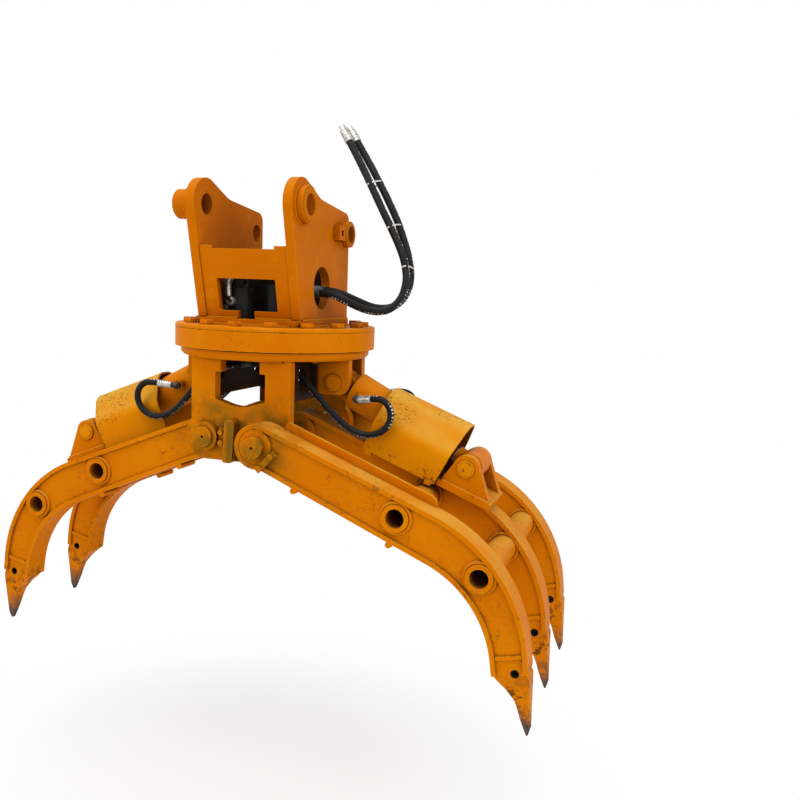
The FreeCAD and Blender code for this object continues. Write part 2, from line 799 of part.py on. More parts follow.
def headed_pin(x, z, edge):
    """A cylinder pin with a flat disc against each lug, whose outer faces are at edge."""
    end = edge + pin_head_thickness
    pin = round_y(x, z, small_pin_dia / 2, -end - 2, end + 2)
    heads = [round_y(x, z, small_pin_dia / 2 + pin_head_lip, edge, end),
             round_y(x, z, small_pin_dia / 2 + pin_head_lip, -end, -edge)]
    return joined([pin] + heads)


def swivel_housing():
    neck_top = cover_top_z - cover_top - 6
    neck = round_z(0, 0, swivel_neck_radius, flange_bottom_z, neck_top)
    body = round_z(0, 0, swivel_body_radius, swivel_bottom_z, flange_bottom_z)
    bore = round_z(0, 0, spool_dia / 2 + running_clearance, swivel_bottom_z + 12, neck_top + 1)
    ports = []
    for angle in (-45, 45, 135, 225):
        port = round_x(0, swivel_bottom_z + 26, 14, swivel_body_radius - 4, swivel_body_radius + 22)
        ports.append(turned(port, V(0, 0, 1), angle))
    return joined([neck, body] + ports).cut(bore)


def pivot_pin(x, y0, y1):
    pin = round_y(x, 0, pivot_pin_dia / 2, y0, y1)
    dimple = round_y(x, 0, pin_dimple_dia / 2, y0 - 1, y0 + pin_dimple_dia)
    return pin.cut(dimple)


def keeper_plate(x, z, angle, y, spread):
    """A small locking plate with a bolt at each end, standing on a face at -Y."""
    half, length = pin_keeper_width / 2, spread + pin_keeper_margin
    front = y - pin_keeper_thickness
    plate = box(x - half, x + half, front, y, z - length, z + length)
    bolts = [round_y(x, z + offset, pin_keeper_bolt_dia / 2, front - pin_keeper_bolt_head, front)
             for offset in (-spread, spread)]
    return turned(joined([plate] + bolts), V(0, 1, 0), angle, V(x, y, z))


def build_carrier():
    pin_hole = pivot_pin_dia / 2 + weld_gap
    bush_hole = pivot_pin_dia / 2 + pivot_bush_wall + weld_gap
    front = frame_plate_shape(pin_hole, bush_hole)
    save("carrier_flange", [carrier_flange()])
    save("frame_front_plate", [front])
    save("frame_rear_plate", [mirror_y(front)])
    web = side_web()
    stop = centre_stop()
    save("frame_webs", [web, mirror_x(web), stop, turned(stop, V(0, 0, 1), 180)])
    lugs = [base_lug(-1), base_lug(1)]
    save("cylinder_lugs", lugs + [mirror_x(lug) for lug in lugs])
    base_pin = headed_pin(base_pin_x, base_pin_z, base_lug_gap / 2 + base_lug_plate)
    save("cylinder_base_pins", [base_pin, mirror_x(base_pin)])
    save("flange_bolts", [hex_bolt(place, flange_bottom_z, flange_bolt_dia, flange_bolt_head,
                                   flange_bolt_head_height, flange_thickness + flange_bolt_grip, up=False)
                          for place in flange_bolt_places()])
    reach = frame_outer_y + pivot_boss_height + pin_dimple_dia
    save("left_pivot_pin", [pivot_pin(-pivot_half_spread, -reach, reach)])
    keeper_x = pivot_pin_dia / 2 + keeper_clear_of_pin - pivot_half_spread
    keeper = keeper_plate(keeper_x, 0, 0, -frame_outer_y, left_keeper_spread)
    save("left_pin_keepers", [keeper, mirror_y(keeper)])
    bushes = []
    for y0, y1 in ((-frame_outer_y, -frame_inner_y), (frame_inner_y, frame_outer_y)):
        bush = round_y(pivot_half_spread, 0, bush_hole - weld_gap, y0, y1)
        bushes.append(bush.cut(round_y(pivot_half_spread, 0, pivot_pin_dia / 2 + running_clearance,
                                       y0 - 1, y1 + 1)))
    save("frame_pivot_bushes", bushes)
    save("swivel_housing", [swivel_housing()])


# Claws, built for the right side about the pivot

def on_band(q, h):
    """A point q along the straight back of a tine and h above it."""
    return (q * math.cos(slope) + (hub_radius + h) * math.sin(slope),
            -q * math.sin(slope) + (hub_radius + h) * math.cos(slope))


def on_low_edge(q, h):
    return (q * math.cos(low_slope) + (h - low_offset) * math.sin(low_slope),
            -q * math.sin(low_slope) + (h - low_offset) * math.cos(low_slope))


def along(point, angle, distance):
    return (point[0] + distance * math.cos(angle), point[1] - distance * math.sin(angle))


def tine_corners(inset, trim):
    """Corners of a tine's side outline, moved in by inset and cut short by trim degrees."""
    turn = math.radians(outer_turn - trim)
    reach = (outer_radius - inset) * math.tan(turn / 2)
    knee = along(on_band(straight_length, -inset), slope, reach)
    tip_out = along(knee, slope + turn, reach)
    low_turn = math.radians(inner_turn - trim)
    low_reach = (inner_radius + inset) * math.tan(low_turn / 2)
    low_knee = along(on_low_edge(low_straight_length, inset), low_slope, low_reach)
    tip_in = along(low_knee, low_slope + low_turn, low_reach)
    root_reach = math.sqrt((hub_radius - inset) ** 2 - (low_offset - inset) ** 2)
    return [on_band(0, -inset) + (0,), knee + (outer_radius - inset,), tip_out + (0,),
            tip_in + (0,), low_knee + (inner_radius + inset,),
            on_low_edge(root_reach, inset) + (0,), (0, 0, 0)]


def tine_slab(inset, trim, y0, y1):
    slab = plate_y(tine_corners(inset, trim), y0, y1)
    return joined([slab, round_y(0, 0, hub_radius - inset, y0, y1)])


def tine_end(inset):
    """The outer and inner corner of a tine's end, moved in by inset."""
    corners = tine_corners(inset, 0)
    return corners[2][:2], corners[3][:2]


def below_end(inset, drop):
    """The same two corners, carried on in the bands' directions."""
    outer, inner = tine_end(inset)
    return (along(outer, slope + math.radians(outer_turn), drop),
            along(inner, low_slope + math.radians(inner_turn), drop))


def on_tooth(share, across):
    """A point at a share of the tooth's length below the tine's end."""
    outer, inner = tine_end(band_plate)
    lean = math.radians(tooth_lean)
    x = (outer[0] + inner[0]) / 2 + share * tooth_length * math.sin(lean) - across * math.cos(lean)
    z = (outer[1] + inner[1]) / 2 - share * tooth_length * math.cos(lean) - across * math.sin(lean)
    return (x, z)


def tooth_line(corners):
    return [on_tooth(share, across) + (radius,) for share, across, radius in corners]


def tapered(shape):
    """Cut both cheeks of a nose or tooth so that they run together towards the tip."""
    cheek = tine_width / 2 - side_recess
    start_z = on_tooth(tooth_taper_share, 0)[1]
    tip_x, tip_z = on_tooth(1.0, 0)
    end_z = tip_z - tooth_tip_thickness
    thin = tooth_tip_thickness / 2 - (cheek - tooth_tip_thickness / 2) * (tip_z - end_z) / (start_z - tip_z)
    points = [V(0, cheek, start_z), V(0, thin, end_z), V(0, 2 * cheek, end_z), V(0, 2 * cheek, start_z),
              V(0, cheek, start_z)]
    wedge = Part.Face(Part.makePolygon(points)).extrude(V(2 * tip_x, 0, 0))
    return shape.cut(wedge).cut(mirror_y(wedge))


def shank(low_share, grow, half):
    """The tooth's tapered shank; grown by a little it is also the nose's cavity."""
    start, end = shank_shares

    def edge(line, share):
        return line[0] + (line[1] - line[0]) * (share - start) / (end - start)

    high_share = start - 10 * grow / tooth_length
    corners = [(high_share, edge(shank_inside, high_share) + grow, 0),
               (low_share, edge(shank_inside, low_share) + grow, 0),
               (low_share, edge(shank_outside, low_share) - grow, 0),
               (high_share, edge(shank_outside, high_share) - grow, 0)]
    return plate_y(tooth_line(corners), -half - grow, half + grow)


def nose():
    """The hollow end between the bands, before the tooth's cavity is cut."""
    cheek = tine_width / 2 - side_recess
    out_top, in_top = below_end(band_plate, -nose_overlap)
    out_low, in_low = below_end(band_plate, band_overrun)
    out_edge, in_edge = below_end(nose_shoulder, band_overrun)
    corners = [in_top + (0,), in_low + (0,), in_edge + (0,)] + tooth_line(nose_inside + nose_outside)
    corners += [out_edge + (0,), out_low + (0,), out_top + (0,)]
    return tapered(plate_y(corners, -cheek, cheek))


def band_ends():
    """Both bands run on beside the nose; a weld bar lies across each cheek above it."""
    half = tine_width / 2
    cheek = half - side_recess
    outer = [below_end(0, -2), below_end(0, band_overrun)]
    inner = [below_end(band_plate, band_overrun), below_end(band_plate, -2)]
    strips = []
    for k in (0, 1):
        strips.append(plate_y([pair[k] + (0,) for pair in outer + inner], -half, half))
    low, high = below_end(band_plate + 2, 0), below_end(band_plate + 2, -seat_weld_height)
    bar = [low[0] + (0,), low[1] + (0,), high[1] + (0,), high[0] + (0,)]
    strips.append(plate_y(bar, -cheek - seat_weld_proud, cheek + seat_weld_proud))
    return strips


def tine(y_middle, bore_radius, boss_sides, rib_side):
    """One box-section tine: two side plates between a back band and an inner band."""
    half = tine_width / 2
    body = tine_slab(0, 0, -half, half)
    hub = round_y(0, 0, boss_radius, -half - 1, half + 1)
    pocket = tine_slab(band_plate, -3, -side_recess, 0).cut(hub)
    body = body.cut(moved(pocket, 0, half, 0)).cut(moved(pocket, 0, side_recess - half, 0))
    room_half = half - side_recess - side_plate
    room = tine_slab(band_plate, 6.5, -room_half, room_half)
    body = body.cut(room.cut(hub))
    pieces = [body, nose()] + band_ends()
    for q in grip_bar_q:
        x, z = on_low_edge(q, -grip_bar_drop)
        pieces.append(round_y(x, z, grip_bar_dia / 2, -half, half))
    for side, length in boss_sides:
        y0, y1 = (half, half + length) if side > 0 else (-half - length, -half)
        pieces.append(round_y(0, 0, boss_radius, y0, y1))
    if rib_side:
        y1 = rib_side * half
        y0 = rib_side * (half - rib_plate)
        corners = [on_band(rib_start, 0) + (0,), on_band(rib_start, rib_height) + (rib_height / 2,),
                   on_band(rib_end, rib_height) + (rib_height * 0.95,), on_band(rib_end, -10) + (0,),
                   on_band(rib_start, -10) + (0,)]
        pieces.append(plate_y(corners, min(y0, y1), max(y0, y1)))
    body = joined(pieces)
    body = body.cut(round_y(0, 0, bore_radius, -2 * half, 2 * half))
    for x, z in zip(tube_x, tube_z):
        body = body.cut(round_y(x, z, tube_dia / 2 + weld_gap, -half - 1, half + 1))
    cavity = shank(2 * shank_shares[1], weld_gap, room_half)
    x, z = on_tooth(tooth_pin_share, tooth_pin_across)
    body = body.cut(cavity).cut(round_y(x, z, tooth_pin_dia / 2 + weld_gap, -half, half))
    return moved(body, 0, y_middle, 0)


def tooth():
    """The tooth's body below the nose, with the shank that goes up into it."""
    cheek = tine_width / 2 - side_recess
    mouth_in, mouth_out = nose_inside[-1], nose_outside[0]
    corners = [(mouth_in[0] + tooth_seat_gap, mouth_in[1], 0)] + tooth_inside + tooth_outside
    corners += [(mouth_out[0] + tooth_seat_gap, mouth_out[1], 0)]
    body = plate_y(tooth_line(corners), -cheek, cheek)
    body = tapered(joined([body, shank(shank_shares[1], 0, cheek - side_plate)]))
    x, z = on_tooth(tooth_pin_share, tooth_pin_across)
    return body.cut(round_y(x, z, tooth_pin_dia / 2 + weld_gap, -cheek, cheek))


def tooth_pin():
    half = tine_width / 2 - side_recess - 1
    x, z = on_tooth(tooth_pin_share, tooth_pin_across)
    sleeve = round_y(x, z, tooth_pin_dia / 2, -half, half)
    return sleeve.cut(round_y(x, z, tooth_pin_bore / 2, -half - 1, half + 1))


def cross_tube(x, z, outer_face):
    y = outer_face + tube_proud
    return round_y(x, z, tube_dia / 2, -y, y).cut(round_y(x, z, tube_bore / 2, -y - 1, y + 1))


def rod_lug(side):
    """A rounded triangular plate that stands on the lug base and holds the rod pin."""
    foot_start = on_band(lug_base_start + lug_foot_inset, lug_base_plate)
    foot_end = on_band(lug_base_end - lug_foot_inset, lug_base_plate)
    left, right = [along((rod_pin_x, rod_pin_z), slope - math.radians(angle), rod_lug_radius)
                   for angle in rod_lug_flare]
    corners = [foot_start + (0,), left + (0,), (rod_pin_x, rod_pin_z, 0), right + (0,), foot_end + (0,)]
    y0 = rod_lug_gap / 2
    y1 = y0 + rod_lug_plate
    plate = joined([plate_y(corners, y0, y1), round_y(rod_pin_x, rod_pin_z, rod_lug_radius, y0, y1)])
    plate = plate.cut(round_y(rod_pin_x, rod_pin_z, small_pin_dia / 2 + weld_gap, y0 - 1, y1 + 1))
    return plate if side > 0 else mirror_y(plate)


def lug_base(half):
    corners = [on_band(lug_base_start, 0) + (0,), on_band(lug_base_start, lug_base_plate) + (0,),
               on_band(lug_base_end, lug_base_plate) + (0,), on_band(lug_base_end, 0) + (0,)]
    return plate_y(corners, -half, half)


def guard():
    """The bent sheet that covers the cylinder, standing on the claw, with a skewed outer end."""
    t = guard_sheet
    tilt = math.atan2(guard_half_width - guard_crown, guard_height - guard_side_height)

    def section(inset, floor, start, end):
        wide = guard_half_width - inset
        shoulder = guard_side_height - inset * math.tan(tilt / 2)
        crown = guard_crown - inset * math.tan((math.pi / 2 - tilt) / 2)
        bend = guard_bend - inset
        return plate_x([(-wide, floor, 0), (-wide, shoulder, bend), (-crown, guard_height - inset, bend),
                        (crown, guard_height - inset, bend), (wide, shoulder, bend), (wide, floor, 0)],
                       start, end)

    low, top = guard_end_low - guard_start, guard_end_top - guard_start
    shell = section(0, 0, 0, top).cut(section(t, -1, -1, top + 1))
    skew = [(low, 0, 0), (top, guard_height, 0), (top + 1, guard_height, 0), (top + 1, 0, 0)]
    shell = shell.cut(plate_y(skew, -guard_half_width - 1, guard_half_width + 1))
    x, z = on_band(guard_start, 0)
    return moved(turned(shell, V(0, 1, 0), tine_slope), x, 0, z)


def guard_foot(q, y0, y1):
    corners = [on_band(q, -foot_plate) + (0,), on_band(q, 0) + (0,), on_band(q + foot_width, 0) + (0,),
               on_band(q + foot_width, -foot_plate) + (0,)]
    return plate_y(corners, y0, y1)


def cross_beam(half):
    """The channel between the two left tines that carries the rod lugs."""
    start = tube_x[0] * math.cos(slope) - tube_z[0] * math.sin(slope) + tube_dia / 2 + beam_gap
    outer = [on_band(start, -beam_depth) + (0,), on_band(start, 0) + (0,),
             on_band(lug_base_end, 0) + (0,), on_band(lug_base_end, -beam_depth) + (0,)]
    inner = [on_band(start + beam_plate, -beam_depth - 1) + (0,),
             on_band(start + beam_plate, -beam_plate) + (8,),
             on_band(lug_base_end - beam_plate, -beam_plate) + (8,),
             on_band(lug_base_end - beam_plate, -beam_depth - 1) + (0,)]
    return plate_y(outer, -half, half).cut(plate_y(inner, -half - 1, half + 1))


def build_claw(name, mirror, faces):
    """Place everything of one claw at its pivot; the left claw is the mirror image."""
    def put(shapes):
        placed = [moved(s, pivot_half_spread, 0, 0) for s in shapes]
        return [mirror_x(s) for s in placed] if mirror else placed

    half = tine_width / 2
    outer = faces - half
    pin_hole = pivot_pin_dia / 2 + weld_gap
    bush_hole = pivot_pin_dia / 2 + pivot_bush_wall + weld_gap
    if mirror:
        places = [("front", -outer), ("rear", outer)]
    else:
        places = [("front", -outer), ("middle", 0.0), ("rear", outer)]
    frame_gap = faces - tine_width - frame_outer_y - side_clearance
    for place, y in places:
        side = 0 if place == "middle" else (1 if place == "front" else -1)
        bosses = [] if mirror or side == 0 else [(side, frame_gap)]
        rib = 0 if mirror else side
        save(name + "_" + place + "_tine", put([tine(y, bush_hole if mirror else pin_hole, bosses, rib)]))
    save(name + "_cross_tubes", put([cross_tube(x, z, faces) for x, z in zip(tube_x, tube_z)]))
    ys = [y for place, y in places]
    save(name + "_teeth", put([moved(tooth(), 0, y, 0) for y in ys]))
    save(name + "_tooth_pins", put([moved(tooth_pin(), 0, y, 0) for y in ys]))
    base = [lug_base(lug_base_half)]
    save(name + "_rod_lugs", put(base + [rod_lug(-1), rod_lug(1)]))
    save(name + "_rod_pin", put([headed_pin(rod_pin_x, rod_pin_z, rod_lug_gap / 2 + rod_lug_plate)]))
    foot_places = (guard_start + foot_inset, guard_end_low - foot_width - foot_inset)
    if mirror:
        inner_face = faces - tine_width
        save(name + "_cross_beam", put([cross_beam(inner_face)]))
        feet = [guard_foot(q, -inner_face, inner_face) for q in foot_places]
    else:
        feet = [guard_foot(q, half, guard_half_width) for q in foot_places]
        feet = feet + [mirror_y(f) for f in feet]
    save(name + "_guard", put([guard()] + feet))
    if mirror:
        bushes = []
        for y in ys:
            bush = round_y(0, 0, bush_hole - weld_gap, y - half, y + half)
            bushes.append(bush.cut(round_y(0, 0, pivot_pin_dia / 2 + running_clearance, y - half - 1,
                                           y + half + 1)))
        save("left_pivot_bushes", put(bushes))
    else:
        reach = faces + pivot_pin_reach
        save("right_pivot_pin", put([pivot_pin(0, -reach, reach)]))
        offset = (pivot_pin_dia / 2 + keeper_clear_of_pin) * math.cos(math.radians(45))
        keeper = keeper_plate(offset, -offset, 45, -faces, right_keeper_spread)
        save("right_pin_keepers", put([keeper, mirror_y(keeper)]))


# Cylinders, built along +X from the base pin, then turned and placed

def placed_cylinder(shape, mirror):
    copy = turned(shape, V(0, 1, 0), cylinder_tilt)
    copy = moved(copy, base_pin_x, 0, base_pin_z)
    return mirror_x(copy) if mirror else copy


def barrel():
    half = base_lug_gap / 2 - eye_side_gap
    eye = round_y(0, 0, eye_radius, -half, half)
    neck = box(0, barrel_start + 5, -half, half, -eye_radius + 6, eye_radius - 6)
    tube = round_x(0, 0, barrel_dia / 2, barrel_start, barrel_end)
    body = joined([eye, neck, tube])
    body = body.cut(round_x(0, 0, cylinder_bore / 2, barrel_start + cap_thickness, barrel_end + 1))
    body = body.cut(round_y(0, 0, small_pin_dia / 2 + running_clearance, -half - 1, half + 1))
    ports = []
    for side in (-1, 1):
        y = barrel_dia / 2
        y0, y1 = (y - 6, y + port_height) if side > 0 else (-y - port_height, 6 - y)
        ports.append(round_y(port_distance + port_dia / 2, 0, port_dia / 2, y0, y1))
    body = joined([body] + ports)
    return body.cut(round_x(0, 0, cylinder_bore / 2, barrel_start + cap_thickness, barrel_end + 1))


def gland():
    inner = round_x(0, 0, cylinder_bore / 2 - weld_gap, barrel_end - gland_length, barrel_end)
    collar_ring = round_x(0, 0, barrel_dia / 2 - 3, barrel_end, barrel_end + gland_collar)
    hole = round_x(0, 0, rod_dia / 2 + running_clearance, barrel_end - gland_length - 1,
                   barrel_end + gland_collar + 1)
    return joined([inner, collar_ring]).cut(hole)


def piston_rod():
    start = barrel_start + cap_thickness + piston_gap
    piston = round_x(0, 0, cylinder_bore / 2 - running_clearance, start, start + piston_length)
    rod = round_x(0, 0, rod_dia / 2, start, rod_pin_distance - 20)
    half = rod_lug_gap / 2 - eye_side_gap
    eye = round_y(rod_pin_distance, 0, rod_eye_radius, -half, half)
    body = joined([piston, rod, eye])
    bore = small_pin_dia / 2 + open_pivot_clearance
    return body.cut(round_y(rod_pin_distance, 0, bore, -half - 1, half + 1))


def build_cylinders():
    for name, mirror in (("right", False), ("left", True)):
        save(name + "_barrel", [placed_cylinder(barrel(), mirror)])
        save(name + "_gland", [placed_cylinder(gland(), mirror)])
        save(name + "_piston_rod", [placed_cylinder(piston_rod(), mirror)])


# Hoses and oil supply

def hose(points, diameter):
    """A round hose of straight runs joined by the largest tangent arcs they allow."""
    path = [V(*p) for p in points]
    start = path[0]
    edges = []
    radii = []
    length = 0.0
    for i in range(1, len(path) - 1):
        before = path[i] - path[i - 1]
        after = path[i + 1] - path[i]
        reach = 0.45 * min(before.Length, after.Length)
        turn = before.getAngle(after)
        radius = reach / math.tan(turn / 2)
        before.normalize()
        after.normalize()
        enter = path[i] - before * reach
        leave = path[i] + after * reach
        inward = after - before
        inward.normalize()
        middle = path[i] + inward * (radius / math.cos(turn / 2) - radius)
        edges.append(Part.makeLine(start, enter))
        edges.append(Part.Arc(enter, middle, leave).toShape())
        length += start.distanceToPoint(enter) + radius * turn
        radii.append(round(radius))
        start = leave
    edges.append(Part.makeLine(start, path[-1]))
    length += start.distanceToPoint(path[-1])
    first = path[1] - path[0]
    section = Part.Wire(Part.Circle(path[0], first, diameter / 2).toShape())
    tube = Part.Wire(edges).makePipeShell([section], True, True)
    expected = math.pi * diameter ** 2 / 4 * length
    print("hose radii", radii, "length", round(length), "volume share", round(tube.Volume / expected, 4))
    return tube


def supply_end(route):
    """The crimped ferrule at a supply hose's free end, with its thinner tail."""
    start = V(*route[-1])
    run = start - V(*route[-2])
    run.normalize()
    body = Part.makeCylinder(supply_ferrule_dia / 2, supply_ferrule_length, start, run)
    shoulder = start + run * supply_ferrule_length
    tail = Part.makeCylinder(supply_tail_dia / 2, supply_tail_length, shoulder, run)
    return joined([body, tail])


def claw_hoses():
    """Front and rear hose of the right cylinder, with their ferrules."""
    route = claw_hose_route
    end = V(*route[-1])
    reach = port_distance + port_dia / 2
    port_x = base_pin_x + reach * math.cos(math.radians(cylinder_tilt))
    port_z = base_pin_z - reach * math.sin(math.radians(cylinder_tilt))
    nut_y = -barrel_dia / 2 - port_height
    nut = round_y(port_x, port_z, elbow_dia / 2, nut_y - elbow_dia, nut_y)
    elbow = V(port_x, nut_y - elbow_dia / 2, port_z)
    stem = Part.makeCylinder(elbow_stem_dia / 2, (elbow - end).Length, end, elbow - end)
    ferrule = Part.makeCylinder(ferrule_dia / 2, ferrule_length, end, elbow - end)
    first = V(*route[0])
    back = Part.makeCylinder(ferrule_dia / 2, ferrule_length, first, first - V(*route[1]))
    pieces = [hose(route, hose_dia), joined([nut, stem, ferrule]), back]
    return pieces + [mirror_y(p) for p in pieces]


def build_oil():
    spool = round_z(0, 0, spool_dia / 2, swivel_bottom_z + 14, head_base_z + 4)
    cap = round_z(0, 0, spool_cap_radius, head_base_z, head_base_z + spool_cap_height)
    save("swivel_spool", [joined([spool, cap])])
    z1 = head_base_z + manifold_height
    block = box(manifold_x[0], manifold_x[1], manifold_y[0], manifold_y[1], head_base_z, z1)
    block = block.makeChamfer(4, block.Edges)
    hoses = []
    fittings = []
    for route in supply_routes:
        start = V(*route[0])
        port = V(manifold_x[1], start.y, start.z)
        fittings.append(Part.makeCylinder(supply_ferrule_dia / 2, start.x - port.x, port, V(1, 0, 0)))
        hoses.append(hose(route, supply_hose_dia))
        fittings.append(supply_end(route))
    save("oil_manifold", [block])
    save("supply_hose_near", [hoses[0]])
    save("supply_hose_far", [hoses[1]])
    save("supply_hose_fittings", fittings)
    pieces = claw_hoses()
    save("right_claw_hoses", pieces)
    save("left_claw_hoses", [mirror_x(p) for p in pieces])


os.makedirs("parts", exist_ok=True)
build_head()
build_slewing()
build_carrier()
build_claw("right", False, right_outer_face)
build_claw("left", True, left_outer_face)
build_cylinders()
build_oil()
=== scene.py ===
# %% [markdown]
# # A slewing grapple, dressed for its picture
#
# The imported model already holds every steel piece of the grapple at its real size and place. This
# notebook gives those pieces their finish: chipped orange paint, worn teeth, greasy steel. It also
# makes what a builder of steelwork leaves to the fitters: hoses, crimped ferrules, elbows, weld beads
# and ties. Every length is in metres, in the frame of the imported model.

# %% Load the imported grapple
import math

import bmesh
import bpy
from mathutils import Matrix, Vector


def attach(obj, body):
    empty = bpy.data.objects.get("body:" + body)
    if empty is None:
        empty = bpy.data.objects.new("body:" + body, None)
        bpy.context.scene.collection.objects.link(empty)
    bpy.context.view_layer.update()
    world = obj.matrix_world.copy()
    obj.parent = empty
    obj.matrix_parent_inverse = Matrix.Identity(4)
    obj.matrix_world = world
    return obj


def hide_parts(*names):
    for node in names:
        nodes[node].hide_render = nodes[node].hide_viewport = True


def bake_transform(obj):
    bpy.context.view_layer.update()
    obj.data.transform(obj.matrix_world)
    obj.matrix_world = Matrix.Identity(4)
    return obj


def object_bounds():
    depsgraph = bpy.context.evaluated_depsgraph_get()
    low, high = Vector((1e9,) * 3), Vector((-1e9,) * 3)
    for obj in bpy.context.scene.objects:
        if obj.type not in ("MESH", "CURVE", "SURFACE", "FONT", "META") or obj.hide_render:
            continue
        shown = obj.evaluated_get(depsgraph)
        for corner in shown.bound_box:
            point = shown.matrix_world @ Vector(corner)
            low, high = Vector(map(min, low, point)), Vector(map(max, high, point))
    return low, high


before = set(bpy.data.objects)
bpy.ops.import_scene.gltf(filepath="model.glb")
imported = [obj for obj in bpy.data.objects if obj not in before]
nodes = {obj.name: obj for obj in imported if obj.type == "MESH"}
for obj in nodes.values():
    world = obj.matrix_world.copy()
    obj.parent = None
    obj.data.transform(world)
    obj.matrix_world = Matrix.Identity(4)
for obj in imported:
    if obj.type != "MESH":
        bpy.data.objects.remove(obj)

cad_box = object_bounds()
print("nodes", len(nodes), "box", [round(v, 3) for v in (*cad_box[0], *cad_box[1])])

# %% [markdown]
# ## Camera
#
# The photograph was taken from the front right, a little above the slewing ring, with the camera
# slightly rolled. A camera that stands where that one stood is worked out from five facts: the angle
# round the grapple, the angle above the horizon, the roll, the distance, and the focal length in
# pixels of an 800 pixel wide picture. The aim is set off from the slewing axis by two small shifts.
#
# The steelwork was drawn round the slewing axis, at the height of the claw pivots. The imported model
# starts at the upper pin instead, so places that are given as drawn are moved by one fixed vector.

# %% Place the camera where the photograph was taken
drawn_from = Vector((0, 0.205, -0.748))
picture_width = 800
focal_pixels = 876.99
camera_turn = math.radians(18.059)
camera_rise = math.radians(7.205)
camera_roll = math.radians(1.970)
camera_distance = 3.0819
aim_right, aim_up = 0.43957, 0.09553

back = Vector((math.sin(camera_turn) * math.cos(camera_rise),
               -math.cos(camera_turn) * math.cos(camera_rise), math.sin(camera_rise)))
level = Vector((math.cos(camera_turn), math.sin(camera_turn), 0))
upright = level.cross(-back)
right = math.cos(camera_roll) * level + math.sin(camera_roll) * upright
up = math.cos(camera_roll) * upright - math.sin(camera_roll) * level

lens = bpy.data.cameras.new("photo_lens")
lens.sensor_width = 36.0
lens.lens = focal_pixels / picture_width * lens.sensor_width
lens.clip_end = 60.0
camera = bpy.data.objects.new("photo_camera", lens)
turn = Matrix((right, up, back)).transposed().to_4x4()
camera.matrix_world = Matrix.Translation(drawn_from + back * camera_distance + right * aim_right
                                         + up * aim_up) @ turn
bpy.context.scene.collection.objects.link(camera)
bpy.context.scene.camera = camera
bpy.context.scene.view_settings.view_transform = "Standard"
print("camera at", [round(v, 3) for v in camera.location], "lens", round(lens.lens, 2))

# %% [markdown]
# ## Helpers for shapes
#
# A hose is a smooth NURBS line. The line is read once without thickness, and a ring of points is
# carried along it, so that the skin has an attribute that says how far along and how far round each
# point lies. Prints and crimp marks follow that attribute, which a plain bevelled curve doesn't give.

# %% Lines and tubes
steps_per_span = 10


def smooth_line(points):
    """The points of a smooth NURBS line that the given points steer."""
    curve = bpy.data.curves.new("line", "CURVE")
    curve.dimensions = "3D"
    spline = curve.splines.new("NURBS")
    spline.points.add(len(points) - 1)
    for knot, place in zip(spline.points, points):
        knot.co = (*place, 1.0)
    spline.order_u = 3
    spline.use_endpoint_u = True
    spline.resolution_u = steps_per_span
    holder = bpy.data.objects.new("line", curve)
    mesh = bpy.data.meshes.new_from_object(holder)
    line = [vertex.co.copy() for vertex in mesh.vertices]
    bpy.data.objects.remove(holder)
    bpy.data.meshes.remove(mesh)
    return line


def line_length(line):
    return sum((b - a).length for a, b in zip(line, line[1:]))


def frames_along(line):
    """A turning frame at each point of a line, carried along it without twist."""
    frames = []
    side = None
    for i, place in enumerate(line):
        ahead = (line[min(i + 1, len(line) - 1)] - line[max(i - 1, 0)]).normalized()
        if side is None:
            side = ahead.orthogonal()
        side = (side - ahead * side.dot(ahead)).normalized()
        frames.append((place, side.copy(), ahead.cross(side), ahead))
    return frames


def tube_mesh(name, line, radius, sides=18):
    """A closed tube: a circle that is extruded from frame to frame along a line."""
    bm = bmesh.new()
    lie = bm.verts.layers.float_vector.new("lie")
    ring = bmesh.ops.create_circle(bm, segments=sides, radius=1.0, cap_ends=False)["verts"]
    turns = [(v.co.x, v.co.y) for v in ring]
    edges, along = list({e for v in ring for e in v.link_edges}), 0.0
    first, before = ring, None
    for step, (place, side, other, ahead) in enumerate(frames_along(line)):
        if step:
            made = bmesh.ops.extrude_edge_only(bm, edges=edges)["geom"]
            fresh = [g for g in made if isinstance(g, bmesh.types.BMVert)]
            # extruding gives the new points in any order, so each is matched to the one it came from
            order = {tuple(round(c, 7) for c in v.co): i for i, v in enumerate(ring)}
            ring = sorted(fresh, key=lambda v: order[tuple(round(c, 7) for c in v.co)])
            edges = [g for g in made if isinstance(g, bmesh.types.BMEdge)]
            along += (place - before).length
        for vertex, (x, y) in zip(ring, turns):
            vertex.co = place + (side * x + other * y) * radius
            vertex[lie] = (x, y, along)
        before = place
    bmesh.ops.contextual_create(bm, geom=first)
    bmesh.ops.contextual_create(bm, geom=ring)
    bmesh.ops.recalc_face_normals(bm, faces=bm.faces)
    mesh = bpy.data.meshes.new(name)
    bm.to_mesh(mesh)
    bm.free()
    mesh.polygons.foreach_set("use_smooth", [len(p.vertices) == 4 for p in mesh.polygons])
    return mesh


print("tube helpers ready")

# %% [markdown]
# Fittings are turned or cut from hexagonal bar, so they are made in the same way: a profile is spun
# about its axis, or a six-sided prism gets bevelled edges. Each is made along +Z and then turned to
# where it points.

# %% Turned and hexagonal pieces
merge_distance = 1e-6
sharp_angle = math.radians(38)


